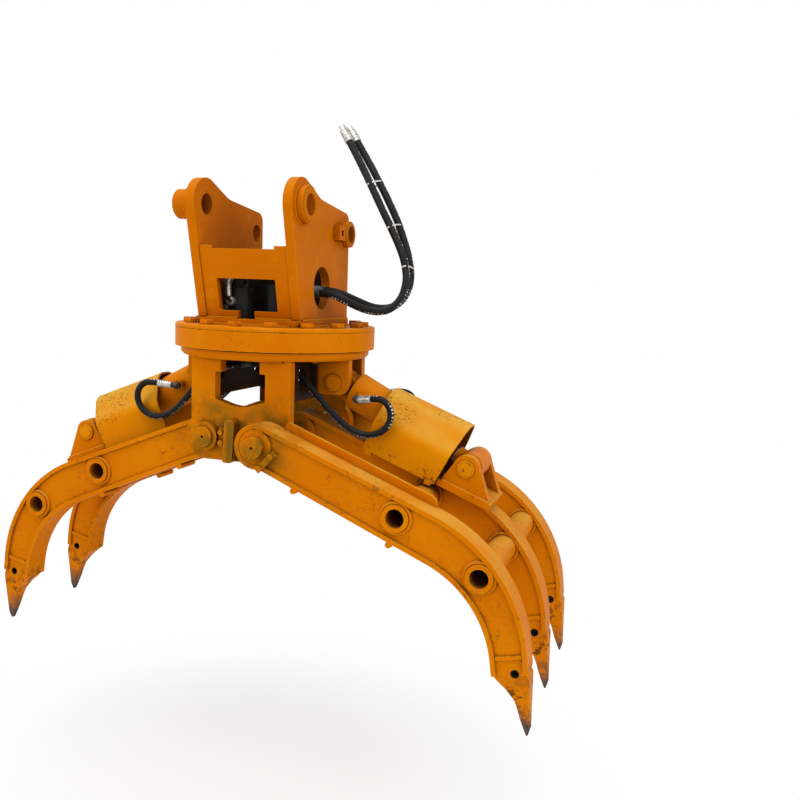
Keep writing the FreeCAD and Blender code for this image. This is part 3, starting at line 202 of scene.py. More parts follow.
def finished(bm, place, ahead):
    """Turn a piece made along +Z to where it points, and give back its mesh with sharp edges kept."""
    bmesh.ops.remove_doubles(bm, verts=bm.verts, dist=merge_distance)
    bmesh.ops.recalc_face_normals(bm, faces=bm.faces)
    towards = Vector(ahead).to_track_quat("Z", "X").to_matrix().to_4x4()
    bmesh.ops.transform(bm, matrix=Matrix.Translation(place) @ towards, verts=bm.verts)
    mesh = bpy.data.meshes.new("piece")
    bm.to_mesh(mesh)
    bm.free()
    mesh.polygons.foreach_set("use_smooth", [True] * len(mesh.polygons))
    mesh.set_sharp_from_angle(angle=sharp_angle)
    return mesh


def turned_mesh(profile, place, ahead, sides=28):
    """A profile of (distance along, radius), spun about its axis."""
    bm = bmesh.new()
    dots = [bm.verts.new((radius, 0, along)) for along, radius in profile]
    for a, b in zip(dots, dots[1:]):
        bm.edges.new((a, b))
    bmesh.ops.spin(bm, geom=bm.verts[:] + bm.edges[:], cent=(0, 0, 0), axis=(0, 0, 1),
                   angle=2 * math.pi, steps=sides, use_merge=True)
    return finished(bm, place, ahead)


def hexagon_mesh(across, length, place, ahead, edge=0.0012):
    """A piece of hexagonal bar, as wide as given across its flats."""
    bm = bmesh.new()
    radius = across / math.sqrt(3)
    bmesh.ops.create_cone(bm, cap_ends=True, segments=6, radius1=radius, radius2=radius, depth=length)
    bmesh.ops.translate(bm, verts=bm.verts, vec=(0, 0, length / 2))
    bmesh.ops.bevel(bm, geom=bm.edges[:], offset=edge, segments=2, profile=0.5, affect="EDGES", material=-1)
    return finished(bm, place, ahead)


def joined_mesh(name, meshes):
    bm = bmesh.new()
    for mesh in meshes:
        bm.from_mesh(mesh)
        bpy.data.meshes.remove(mesh)
    whole = bpy.data.meshes.new(name)
    bm.to_mesh(whole)
    bm.free()
    return whole


def add_piece(name, mesh, material, body):
    """Link a finished mesh as a piece that rides on a body of the grapple."""
    mesh.name = name
    piece = bpy.data.objects.new(name, mesh)
    bpy.context.scene.collection.objects.link(piece)
    piece.data.materials.append(material)
    if body:
        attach(piece, body)
    return piece


print("fitting helpers ready")

# %% [markdown]
# ## Shared shader groups
#
# Five effects come back in nearly every finish. Edge chips are found with a Bevel node: where the
# rounded normal leaves the true one, there is an edge, and a noise breaks it up. Dust, with a painted
# sheen, lies on what faces up. Scratches are fine strokes in patches. Grease gathers round a pin that
# runs across the grapple. Painted shade darkens seams and deep corners, found by how much of the sky a
# point sees. Each is a node group that puts out a mask, and each material mixes in its own colours.

# %% Node helpers
def new_group(name, inputs, outputs):
    group = bpy.data.node_groups.new(name, "ShaderNodeTree")
    for label, value in inputs:
        socket = group.interface.new_socket(name=label, in_out="INPUT", socket_type="NodeSocketFloat")
        socket.default_value = value
    for label in outputs:
        group.interface.new_socket(name=label, in_out="OUTPUT", socket_type="NodeSocketFloat")
    return group, group.nodes.new("NodeGroupInput"), group.nodes.new("NodeGroupOutput")


def add_node(tree, kind, settings=None, **inputs):
    """A node with its settings, and its inputs by name or as i0, i1; a socket given as input is linked."""
    node = tree.nodes.new(kind)
    for key, value in (settings or {}).items():
        setattr(node, key, value)
    for key, value in inputs.items():
        numbered = key[0] == "i" and key[1:].isdigit()
        socket = node.inputs[int(key[1:]) if numbered else key.replace("_", " ")]
        if isinstance(value, bpy.types.NodeSocket):
            tree.links.new(value, socket)
        else:
            socket.default_value = value
    return node


def maths(tree, operation, a, b=0.0):
    return add_node(tree, "ShaderNodeMath", {"operation": operation}, i0=a, i1=b).outputs[0]


def plus(tree, a, b):
    return maths(tree, "ADD", a, b)


def minus(tree, a, b):
    return maths(tree, "SUBTRACT", a, b)


def times(tree, first, *others):
    for other in others:
        first = maths(tree, "MULTIPLY", first, other)
    return first


def largest(tree, first, *others):
    for other in others:
        first = maths(tree, "MAXIMUM", first, other)
    return first


def unsigned(tree, value):
    return maths(tree, "ABSOLUTE", value)


def place_parts(tree):
    """The x, y and z of the piece's own object coordinates."""
    place = add_node(tree, "ShaderNodeTexCoord").outputs["Object"]
    return add_node(tree, "ShaderNodeSeparateXYZ", i0=place).outputs


def noise(tree, scale, detail=4.0, stretch=(1, 1, 1), roughness=0.55):
    """A noise on the piece's own object coordinates, stretched where the finish needs it."""
    place = add_node(tree, "ShaderNodeTexCoord").outputs["Object"]
    mapped = add_node(tree, "ShaderNodeMapping", i0=place, i3=stretch).outputs[0]
    return add_node(tree, "ShaderNodeTexNoise", i0=mapped, Scale=scale, Detail=detail,
                    Roughness=roughness).outputs[0]


def ramp(tree, value, low, high):
    """0 below low, 1 above high, and smooth between them."""
    return add_node(tree, "ShaderNodeMapRange", {"interpolation_type": "SMOOTHSTEP"},
                    Value=value, From_Min=low, From_Max=high).outputs[0]


def fall(tree, value, low, high):
    """1 below low, 0 above high, and smooth between them."""
    return minus(tree, 1.0, ramp(tree, value, low, high))


def mix(tree, mask, a, b):
    return add_node(tree, "ShaderNodeMix", {"data_type": "RGBA"}, i0=mask, i6=a, i7=b).outputs[2]


# %% Edge chips
def build_edge_chips():
    """Mask is the chipped part of an edge, and Edge is the whole of it."""
    tree, given, result = new_group("edge_chips", [("Width", 0.004), ("Amount", 0.5)], ["Mask", "Edge"])
    chip_grain = 26.0
    unchipped_above, chipped_share = 0.75, 0.22
    soft = add_node(tree, "ShaderNodeBevel", {"samples": 4}, Radius=given.outputs["Width"]).outputs[0]
    true = add_node(tree, "ShaderNodeNewGeometry").outputs["Normal"]
    same = add_node(tree, "ShaderNodeVectorMath", {"operation": "DOT_PRODUCT"}, i0=soft, i1=true)
    edge = ramp(tree, minus(tree, 1.0, same.outputs["Value"]), 0.01, 0.16)
    broken = noise(tree, chip_grain, 6.0, roughness=0.7)
    limit = minus(tree, unchipped_above, times(tree, given.outputs["Amount"], chipped_share))
    grit = ramp(tree, minus(tree, broken, limit), 0.0, 0.04)
    tree.links.new(times(tree, edge, grit), result.inputs["Mask"])
    tree.links.new(edge, result.inputs["Edge"])
    return tree


edge_chips = build_edge_chips()
print("group", edge_chips.name)

# %% Dust with a painted sheen, and scratches
def build_dust_and_sheen():
    """Dust and a painted sheen on what faces up, thicker in some patches than in others."""
    tree, given, result = new_group("dust_and_sheen_on_top", [("Amount", 0.5)], ["Mask"])
    patch_grain = 9.0
    normal = add_node(tree, "ShaderNodeNewGeometry").outputs["Normal"]
    rise = add_node(tree, "ShaderNodeSeparateXYZ", i0=normal).outputs[2]
    flat = ramp(tree, rise, 0.15, 0.85)
    patch = ramp(tree, noise(tree, patch_grain, 6.0), 0.15, 0.65)
    tree.links.new(times(tree, flat, patch, given.outputs["Amount"]), result.inputs["Mask"])
    return tree


def build_scratches():
    """Short dark strokes: a fine noise stretched one way, cut off high, in patches."""
    tree, given, result = new_group("scratches", [("Amount", 0.5)], ["Mask"])
    stroke_grain, patch_grain = 46.0, 5.0
    strokes = []
    for stretch in ((1, 1, 9), (6, 1, 2), (1.5, 7, 1)):
        strokes.append(ramp(tree, noise(tree, stroke_grain, 4.0, stretch), 0.61, 0.66))
    patch = ramp(tree, noise(tree, patch_grain, 3.0), 0.46, 0.60)
    mask = times(tree, largest(tree, *strokes), patch, given.outputs["Amount"])
    tree.links.new(mask, result.inputs["Mask"])
    return tree


dust_and_sheen_on_top = build_dust_and_sheen()
scratches = build_scratches()
print("groups", dust_and_sheen_on_top.name, scratches.name)

# %% Grease and painted shade
def build_grease():
    """How near a point is to a pin that lies along Y, on either side of the grapple."""
    tree, given, result = new_group("near_pin", [("Pin X", 0.1175), ("Pin Z", -0.748), ("Inside", 0.05),
                                                 ("Outside", 0.10)], ["Mask"])
    x, y, z = place_parts(tree)
    across = minus(tree, unsigned(tree, x), given.outputs["Pin X"])
    rise = minus(tree, z, given.outputs["Pin Z"])
    flat = add_node(tree, "ShaderNodeCombineXYZ", i0=across, i2=rise).outputs[0]
    away = add_node(tree, "ShaderNodeVectorMath", {"operation": "LENGTH"}, i0=flat).outputs["Value"]
    tree.links.new(fall(tree, away, given.outputs["Inside"], given.outputs["Outside"]),
                   result.inputs["Mask"])
    return tree


def build_grime():
    """Painted shade in seams within a finger's width and in deep hollows, the latter given by Depth."""
    tree, given, result = new_group("grime", [("Depth", 0.22)], ["Seam", "Hollow"])
    seam_width = 0.012
    near = add_node(tree, "ShaderNodeAmbientOcclusion", {"samples": 4}, Distance=seam_width).outputs["AO"]
    far = add_node(tree, "ShaderNodeAmbientOcclusion", {"samples": 6},
                   Distance=given.outputs["Depth"]).outputs["AO"]
    tree.links.new(fall(tree, near, 0.35, 0.80), result.inputs["Seam"])
    tree.links.new(fall(tree, far, 0.10, 0.72), result.inputs["Hollow"])
    return tree


near_pin = build_grease()
grime = build_grime()
print("groups", near_pin.name, grime.name)

# %% Start a material and place groups in it
def use_group(tree, group, output=0, **inputs):
    return add_node(tree, "ShaderNodeGroup", {"node_tree": group}, **inputs).outputs[output]


def new_material(name, roughness, metallic=0.0, specular=0.5):
    """A material whose Principled shader has the values that are the same all over."""
    material = bpy.data.materials.new(name)
    material.use_nodes = True
    shader = material.node_tree.nodes["Principled BSDF"]
    shader.inputs["Roughness"].default_value = roughness
    shader.inputs["Metallic"].default_value = metallic
    shader.inputs["Specular IOR Level"].default_value = specular
    return material, material.node_tree, shader


print("groups in all", len(bpy.data.node_groups))

# %% [markdown]
# ## Orange paint
#
# The grapple is sprayed one orange all over, over its welds. Handling has dulled it: the backs of the
# claws and the top of the guards are paler and scratched, with dust and a painted sheen on what faces
# up, edges are knocked through to dark primer and rust, and the rest of each edge gets a painted
# highlight. Seams and inside corners are darkened to brown as painted shade. Round the claw pivots old
# grease has run out and holds olive dirt, and the space inside the head and the frame is painted black,
# for shade and oily soot; the head's own paint takes two darker tones as painted shade. One function
# makes the paint, and each part of the grapple gets its own amounts of chips, dust and sheen, scratches
# and grease.

# %% Colours
orange = (0.720, 0.208, 0.0008, 1)
orange_deep = (0.650, 0.166, 0.0006, 1)
orange_shade = (0.570, 0.136, 0.0005, 1)
orange_pale = (0.760, 0.330, 0.008, 1)
yellowed = (0.760, 0.290, 0.002, 1)
dust_and_sheen_colour = (0.660, 0.390, 0.060, 1)
old_grease = (0.190, 0.105, 0.008, 1)
# painted shade colours for deep hollows and seams
hollow_shade_brown = (0.075, 0.010, 0.0008, 1)
seam_shade_brown = (0.070, 0.018, 0.003, 1)
soot_and_shade = (0.012, 0.009, 0.007, 1)
primer = (0.055, 0.022, 0.010, 1)
rust = (0.150, 0.048, 0.014, 1)
worn_steel = ((0.035, 0.022, 0.014, 1), (0.16, 0.13, 0.11, 1))

paint_roughness, worn_roughness = 0.36, 0.35
paint_gloss = 0.012
claw_pivot_out = 0.1175
print("orange", orange[:3])

# %% Where painted shade with oily soot, and grease, lie
def inside_frame(tree):
    """1 on what lies between the frame's front and rear plates, under the flange, where shade and oily soot
    are painted.
    """
    x, y, z = place_parts(tree)
    between = fall(tree, unsigned(tree, minus(tree, y, drawn_from.y)), 0.2215, 0.2225)
    near = fall(tree, unsigned(tree, x), 0.185, 0.200)
    ragged = plus(tree, z, times(tree, noise(tree, 7.0), 0.10))
    return times(tree, between, near, ramp(tree, ragged, -0.66, -0.56))


def worn_stop(tree):
    """How greasy the stop between the claw pivots is, which the claws' hubs rub."""
    x, y, z = place_parts(tree)
    narrow = fall(tree, unsigned(tree, x), 0.022, 0.034)
    low = fall(tree, z, -0.700, -0.680)
    return times(tree, narrow, low, 0.85)


def inside_head(tree):
    """1 on what lies between the head's cheeks, behind the outer face of the leaning front plate, where
    shade and oily soot are painted.
    """
    x, y, z = place_parts(tree)
    plate_foot, plate_lean = 0.365, 0.242
    between = fall(tree, unsigned(tree, x), 0.1545, 0.1552)
    upright_y = plus(tree, y, times(tree, plus(tree, z, plate_foot), plate_lean))
    behind = ramp(tree, upright_y, 0.016, 0.034)
    low = fall(tree, plus(tree, z, times(tree, noise(tree, 9.0), 0.12)), -0.16, -0.05)
    above = ramp(tree, z, -0.366, -0.3655)
    front = fall(tree, y, 0.378, 0.380)
    return times(tree, between, behind, low, above, front)


print("soot inside the frame and the head")

# %% The paint and what lies on it
def orange_paint(name, chips, dust_and_sheen, marks, tones=(orange_deep, orange), bare_below=None, greasy=0.0,
                 soot_and_shade_mask=None, stop=False, chipped_below=None, seam_shade=0.92):
    """Orange paint, from its first coat to what lies on it and where it is lost."""
    material, tree, shader = new_material(name, paint_roughness, specular=paint_gloss)
    colour = mix(tree, ramp(tree, noise(tree, 2.2, 3.0), 0.30, 0.72), *tones)
    faded = ramp(tree, noise(tree, 12.0, 5.0), 0.52, 0.80)
    colour = mix(tree, times(tree, faded, 0.30), colour, orange_pale)
    # Dust with a painted sheen: faces that look up are made paler and yellower.
    dust_and_sheen_mask = use_group(tree, dust_and_sheen_on_top, Amount=dust_and_sheen)
    colour = mix(tree, dust_and_sheen_mask, colour, dust_and_sheen_colour)
    if greasy:
        film = use_group(tree, near_pin, Pin_X=claw_pivot_out, Pin_Z=drawn_from.z, Inside=0.060,
                         Outside=0.20)
        cloud = ramp(tree, noise(tree, 13.0, 5.0, roughness=0.65), 0.32, 0.66)
        colour = mix(tree, times(tree, film, cloud, greasy), colour, old_grease)
    if stop:
        colour = mix(tree, worn_stop(tree), colour, old_grease)
    # Painted shade: deep hollows and seams, which see little of the sky, are darkened to brown.
    hollow_shade = use_group(tree, grime, "Hollow")
    colour = mix(tree, times(tree, hollow_shade, 0.85), colour, hollow_shade_brown)
    seam_shade_mask = use_group(tree, grime, "Seam")
    colour = mix(tree, times(tree, seam_shade_mask, seam_shade), colour, seam_shade_brown)
    # Painted highlight: each edge along its whole length is made paler orange.
    rim = use_group(tree, edge_chips, "Edge")
    colour = mix(tree, times(tree, rim, 0.55), colour, orange_pale)
    # Painted shade with oily soot: the insides of the head and the frame are made nearly black.
    if soot_and_shade_mask:
        colour = mix(tree, times(tree, soot_and_shade_mask(tree), 0.96), colour, soot_and_shade)
    scored = use_group(tree, scratches, Amount=marks)
    knocked = use_group(tree, edge_chips, Amount=chips)
    if chipped_below:
        high, low = chipped_below
        ragged = plus(tree, place_parts(tree)[2], times(tree, noise(tree, 8.0), 0.20))
        flakes = ramp(tree, noise(tree, 34.0, 6.0, roughness=0.7), 0.50, 0.56)
        knocked = largest(tree, knocked, times(tree, fall(tree, ragged, low, high), flakes))
    lost = largest(tree, scored, knocked)
    bare_metal = mix(tree, ramp(tree, noise(tree, 30.0, 3.0), 0.4, 0.6), primer, rust)
    colour = mix(tree, lost, colour, bare_metal)
    if bare_below:
        high, low = bare_below
        ragged = plus(tree, place_parts(tree)[2], times(tree, noise(tree, 14.0, 6.0), 0.16))
        bare = ramp(tree, minus(tree, high + 0.08, ragged), 0.0, high - low)
        colour = mix(tree, bare, colour, mix(tree, noise(tree, 70.0, 4.0), *worn_steel))
        lost = largest(tree, lost, bare)
    tree.links.new(colour, shader.inputs["Base Color"])
    rough = plus(tree, paint_roughness, times(tree, largest(tree, dust_and_sheen_mask, lost), worn_roughness))
    tree.links.new(rough, shader.inputs["Roughness"])
    skin = times(tree, noise(tree, 90.0, 2.0), 0.25)
    bump = add_node(tree, "ShaderNodeBump", Strength=0.25, Distance=0.0008, Height=minus(tree, skin, lost))
    tree.links.new(bump.outputs[0], shader.inputs["Normal"])
    return material


print("paint is ready to be mixed")

# %% Paint in several states of wear
# Painted shade: the head gets the two darker tones, as it lies in more shade than the claws.
paint_head = orange_paint("paint_head", 0.60, 0.10, 0.15, (orange_shade, orange_deep),
                          soot_and_shade_mask=inside_head)
paint_cover = orange_paint("paint_cover", 0.90, 0.10, 0.30)
paint_frame = orange_paint("paint_frame", 0.60, 0.15, 0.25, greasy=0.90, soot_and_shade_mask=inside_frame, stop=True)
paint_claw = orange_paint("paint_claw", 0.80, 0.55, 0.45, greasy=0.60, chipped_below=(-1.17, -1.36),
                          seam_shade=0.45)
paint_guard = orange_paint("paint_guard", 0.80, 0.80, 1.00, (orange, yellowed))
paint_tooth = orange_paint("paint_tooth", 0.90, 0.40, 0.80, bare_below=(-1.42, -1.52),
                           chipped_below=(-1.30, -1.45))
print("paints", len([m for m in bpy.data.materials if m.name.startswith("paint")]))

# %% [markdown]
# ## Metals, rubber and black paint
#
# Away from the orange paint there is little colour. The motor, the rotary joint and the manifold are
# black and a little oily. Pins and gears are greased steel, the rods are chromed, bushes are bronze,
# and ferrules are zinc plated. A rod's eye was sprayed together with the claw, so its material changes
# from paint to chrome with the distance from the pin.

# %% Metals and plain dark finishes
def metal(name, low, high, roughness, metallic=1.0, grain=40.0, specular=0.5):
    """A cloudy finish between two tones; it serves black paint, plastic and rubber too."""
    material, tree, shader = new_material(name, roughness, metallic, specular)
    spread = 0.18
    cloud = noise(tree, grain, 5.0)
    tree.links.new(mix(tree, ramp(tree, cloud, 0.3, 0.7), low, high), shader.inputs["Base Color"])
    rough = plus(tree, roughness - 0.08, times(tree, cloud, spread))
    tree.links.new(rough, shader.inputs["Roughness"])
    bump = add_node(tree, "ShaderNodeBump", Strength=0.2, Distance=0.0004, Height=cloud)
    tree.links.new(bump.outputs[0], shader.inputs["Normal"])
    return material


greased_steel = metal("greased_steel", (0.10, 0.085, 0.07, 1), (0.33, 0.31, 0.28, 1), 0.42, 0.9)
dark_steel = metal("dark_steel", (0.03, 0.03, 0.03, 1), (0.09, 0.085, 0.08, 1), 0.45, 0.8)
# Painted shade: the tooth pins are made nearly black, so that they read as shaded holes.
shaded_pin_steel = metal("shaded_pin_steel", (0.008, 0.005, 0.003, 1), (0.022, 0.012, 0.006, 1), 0.6, 0.0,
                    specular=0.1)
bronze = metal("turned_bronze", (0.32, 0.19, 0.06, 1), (0.52, 0.34, 0.13, 1), 0.35, 1.0)
zinc = metal("zinc_plate", (0.36, 0.35, 0.32, 1), (0.66, 0.65, 0.61, 1), 0.32, 0.85, 60.0)
black_paint = metal("black_paint", (0.006, 0.006, 0.006, 1), (0.018, 0.017, 0.016, 1), 0.40, 0.0, 12.0,
                    0.20)
pale_plastic = metal("pale_plastic", (0.50, 0.49, 0.46, 1), (0.70, 0.69, 0.66, 1), 0.45, 0.0, 60.0)
seal = metal("seal_rubber", (0.006, 0.006, 0.006, 1), (0.014, 0.013, 0.013, 1), 0.6, 0.0, specular=0.15)
print("materials", len(bpy.data.materials))

# %% Chromed rod and hose rubber
def rod_finish():
    """Chrome away from the rod's pin, and paint on the eye round it."""
    chrome_roughness, extra_on_paint = 0.14, 0.28
    material, tree, shader = new_material("rod_and_eye", chrome_roughness, specular=0.03)
    painted = use_group(tree, near_pin, Pin_X=0.7165, Pin_Z=-0.811, Inside=0.062, Outside=0.066)
    chrome = mix(tree, noise(tree, 8.0, 5.0), (0.58, 0.58, 0.59, 1), (0.72, 0.72, 0.73, 1))
    sprayed = mix(tree, ramp(tree, noise(tree, 12.0, 5.0), 0.4, 0.7), orange_deep, orange)
    sprayed = mix(tree, use_group(tree, edge_chips, Amount=0.7), sprayed, primer)
    tree.links.new(mix(tree, painted, chrome, sprayed), shader.inputs["Base Color"])
    tree.links.new(minus(tree, 1.0, painted), shader.inputs["Metallic"])
    rough = plus(tree, chrome_roughness, times(tree, painted, extra_on_paint))
    tree.links.new(rough, shader.inputs["Roughness"])
    return material


def hose_rubber():
    """Black cover with a broken pale line of print along it and dust on top."""
    strokes_per_metre, words_per_metre = 95.0, 9.0
    black, worn_black = (0.004, 0.004, 0.004, 1), (0.012, 0.011, 0.011, 1)
    hose_dust, print_ink = (0.10, 0.085, 0.065, 1), (0.60, 0.59, 0.56, 1)
    material, tree, shader = new_material("hose_rubber", 0.50, specular=0.16)
    lie = add_node(tree, "ShaderNodeAttribute", {"attribute_name": "lie"}).outputs["Vector"]
    across, _, along = add_node(tree, "ShaderNodeSeparateXYZ", i0=lie).outputs
    facing = ramp(tree, unsigned(tree, across), 0.90, 0.94)
    strokes = ramp(tree, maths(tree, "FRACT", times(tree, along, strokes_per_metre)), 0.42, 0.50)
    words = ramp(tree, maths(tree, "FRACT", times(tree, along, words_per_metre)), 0.30, 0.34)
    worn = ramp(tree, noise(tree, 120.0, 3.0), 0.42, 0.58)
    print_mask = times(tree, facing, strokes, words, worn)
    cover = mix(tree, ramp(tree, noise(tree, 18.0, 4.0), 0.35, 0.75), black, worn_black)
    cover = mix(tree, use_group(tree, dust_and_sheen_on_top, Amount=0.12), cover, hose_dust)
    tree.links.new(mix(tree, print_mask, cover, print_ink), shader.inputs["Base Color"])
    skin = noise(tree, 260.0, 2.0)
    bump = add_node(tree, "ShaderNodeBump", Strength=0.3, Distance=0.0004, Height=skin)
    tree.links.new(bump.outputs[0], shader.inputs["Normal"])
    return material


rod = rod_finish()
rubber = hose_rubber()
print("materials", len(bpy.data.materials))

# %% [markdown]
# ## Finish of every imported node
#
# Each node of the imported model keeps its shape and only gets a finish. The table below says which, by
# the words in the nodes' names.

# %% Give every node its finish
finish_of = [
    ("tooth_pins", shaded_pin_steel), ("teeth", paint_tooth), ("guard", paint_guard), ("tine", paint_claw),
    ("cross_tubes", paint_claw), ("cross_beam", paint_claw), ("rod_lugs", paint_claw),
    ("rod_pin", paint_guard), ("pivot_pin", paint_frame), ("pin_keepers", paint_frame),
    ("bushes", bronze), ("barrel", paint_frame), ("gland", dark_steel), ("piston_rod", rod),
    ("hose_fittings", zinc), ("hose", rubber), ("motor", black_paint), ("manifold", black_paint),
    ("swivel", black_paint), ("rollers", greased_steel), ("outer_ring", greased_steel),
    ("ring_gear", greased_steel), ("pinion", greased_steel), ("seal", seal), ("base_pins", paint_frame),
    ("flange_bolts", paint_frame), ("cover_bolts", paint_cover), ("frame", paint_frame),
    ("carrier_flange", paint_frame), ("cylinder_lugs", paint_frame), ("head", paint_head),
    ("pin_collars", paint_head), ("slewing_cover", paint_cover),
]
for name, node in nodes.items():
    chosen = next(material for word, material in finish_of if word in name)
    node.data.materials.clear()
    node.data.materials.append(chosen)
print("finished", len(nodes), "nodes")

# %% [markdown]
# ## Hoses
#
# Two supply hoses leave the head through the hole in its right cheek, swing out in one wide bend and rise
# to their crimped ends. Four shorter hoses leave the rotary joint under the ring and loop to the ports
# on the cylinders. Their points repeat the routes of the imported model, in metres, but for the last few
# of a cylinder hose, which meet its elbow more gently. Each hose ends in a crimped ferrule: a plated
# sleeve that was squeezed in rings round the hose.

# %% Ferrules
ferrule_radius = 0.016
ferrule_length = 0.046
hose_overlap = 0.002
rightwards = Vector((1, 0, 0))


def crimped(place, ahead, length, radius, rings=4):
    """A sleeve with pressed rings: each is a crest, a step down, a trough and a step up."""
    lip = 0.0015
    pressed = radius * 0.90
    pitch = (length - 2 * lip) / rings
    profile = [(0, 0), (0, pressed), (lip, radius)]
    for k in range(rings):
        start = lip + k * pitch
        profile += [(start + pitch * 0.62, radius), (start + pitch * 0.72, pressed),
                    (start + pitch * 0.90, pressed), (start + pitch, radius)]
    profile += [(length, pressed), (length, 0)]
    return turned_mesh(profile, place, ahead)


def drawn(point, side=1, depth=1):
    """A place as drawn, mirrored to the other side of the grapple where asked."""
    return Vector((point[0] * side, point[1] * depth, point[2])) + drawn_from


print("ferrule length for supply hoses", ferrule_length)

# %% Supply hoses
supply_diameter = 0.026
inlet_out = 0.134
union_across, union_length = 0.0270, 0.014
tail_profile = [(0, 0), (0, 0.0135), (0.004, 0.0135), (0.006, 0.0115), (0.020, 0.0115), (0.024, 0.0105),
                (0.024, 0.0072), (0.010, 0.0072), (0.010, 0)]
supply_routes = {"near": [
    (0.186, -0.060, 0.474), (0.228, -0.060, 0.474), (0.286, -0.046, 0.446), (0.345, -0.026, 0.420),
    (0.402, -0.004, 0.420), (0.444, 0.020, 0.458), (0.454, 0.046, 0.520), (0.438, 0.070, 0.582),
    (0.406, 0.091, 0.644), (0.366, 0.110, 0.708), (0.322, 0.131, 0.776), (0.277, 0.151, 0.850),
    (0.228, 0.172, 0.928), (0.178, 0.189, 1.004)], "far": [
    (0.186, -0.027, 0.482), (0.230, -0.027, 0.482), (0.298, -0.008, 0.452), (0.356, 0.012, 0.428),
    (0.412, 0.036, 0.432), (0.450, 0.060, 0.474), (0.457, 0.084, 0.536), (0.440, 0.105, 0.598),
    (0.414, 0.124, 0.660), (0.382, 0.142, 0.726), (0.340, 0.161, 0.796), (0.293, 0.182, 0.868),
    (0.244, 0.203, 0.940), (0.194, 0.223, 1.008)]}
supply_lines = {}
for label, route in supply_routes.items():
    line = smooth_line([drawn(point) for point in route])
    supply_lines[label] = line
    hose = add_piece("supply_line_" + label, tube_mesh("supply_line_" + label, line, supply_diameter / 2),
                     rubber, "head")
    ahead = (line[-1] - line[-2]).normalized()
    inlet = Vector((inlet_out, line[0].y, line[0].z))
    fitting = add_piece("supply_tail_" + label, joined_mesh("ends", [
        crimped(line[-1] - ahead * hose_overlap, ahead, ferrule_length + hose_overlap, ferrule_radius),
        turned_mesh(tail_profile, line[-1] + ahead * ferrule_length, ahead)]),
        zinc, "head")
    union = add_piece("supply_union_" + label, joined_mesh("ends", [
        crimped(inlet + rightwards * 0.012, rightwards, 0.042, ferrule_radius),
        hexagon_mesh(union_across, union_length, inlet - rightwards * 0.001, rightwards)]),
        dark_steel, "head")
    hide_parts("supply_hose_fittings")
    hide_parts("supply_hose_fittings")
    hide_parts("supply_hose_" + label)
    print("supply hose", label, round(line_length(line), 3))

# %% [markdown]
# Thin ties hold the two supply hoses together at three places. A tie is an oval band: a circle that is
# stretched round both hoses, drawn out to its width and given a thickness.

# %% Ties
tie_heights = (0.565, 0.700, 0.850)
tie_width, tie_thickness = 0.005, 0.0012
past_bend = 40


def tie_mesh(near, far, ahead):
    """An oval band round two hoses whose middles are near and far."""
    middle, apart = (near + far) / 2, far - near
    apart = apart - ahead * apart.dot(ahead)
    bm = bmesh.new()
    ring = bmesh.ops.create_circle(bm, segments=40, radius=1.0, cap_ends=False)["verts"]
    wide, high = apart.length / 2 + supply_diameter / 2 + 0.0015, supply_diameter / 2 + 0.0025
    bmesh.ops.scale(bm, verts=ring, vec=(wide, high, 1))
    made = bmesh.ops.extrude_edge_only(bm, edges=bm.edges[:])["geom"]
    fresh = [g for g in made if isinstance(g, bmesh.types.BMVert)]
    bmesh.ops.translate(bm, verts=fresh, vec=(0, 0, tie_width))
    bmesh.ops.recalc_face_normals(bm, faces=bm.faces)
    bmesh.ops.solidify(bm, geom=bm.faces[:], thickness=tie_thickness)
    side = apart.normalized()
    turned = Matrix((side, ahead.cross(side), ahead)).transposed().to_4x4()
    bmesh.ops.transform(bm, matrix=Matrix.Translation(middle) @ turned, verts=bm.verts)
    bmesh.ops.recalc_face_normals(bm, faces=bm.faces)
    mesh = bpy.data.meshes.new("tie")
    bm.to_mesh(mesh)
    bm.free()
    return mesh


ties = []
for height in tie_heights:
    near = min(supply_lines["near"][past_bend:], key=lambda p: abs(p.z - drawn((0, 0, height)).z))
    far = min(supply_lines["far"][past_bend:], key=lambda p: (p - near).length)
    at = supply_lines["near"].index(near)
    ahead = (supply_lines["near"][at + 1] - supply_lines["near"][at - 1]).normalized()
    ties.append(tie_mesh(near, far, ahead))
add_piece("hose_ties", joined_mesh("hose_ties", ties), pale_plastic, "head")
print("ties", len(ties))

# %% [markdown]
# A cylinder hose is held by the frame at one end and by the barrel at the other, and the barrel swings.
# The tube is made in one piece and linked to no body, while its ferrules and elbow ride on the carrier and
# the cylinder.

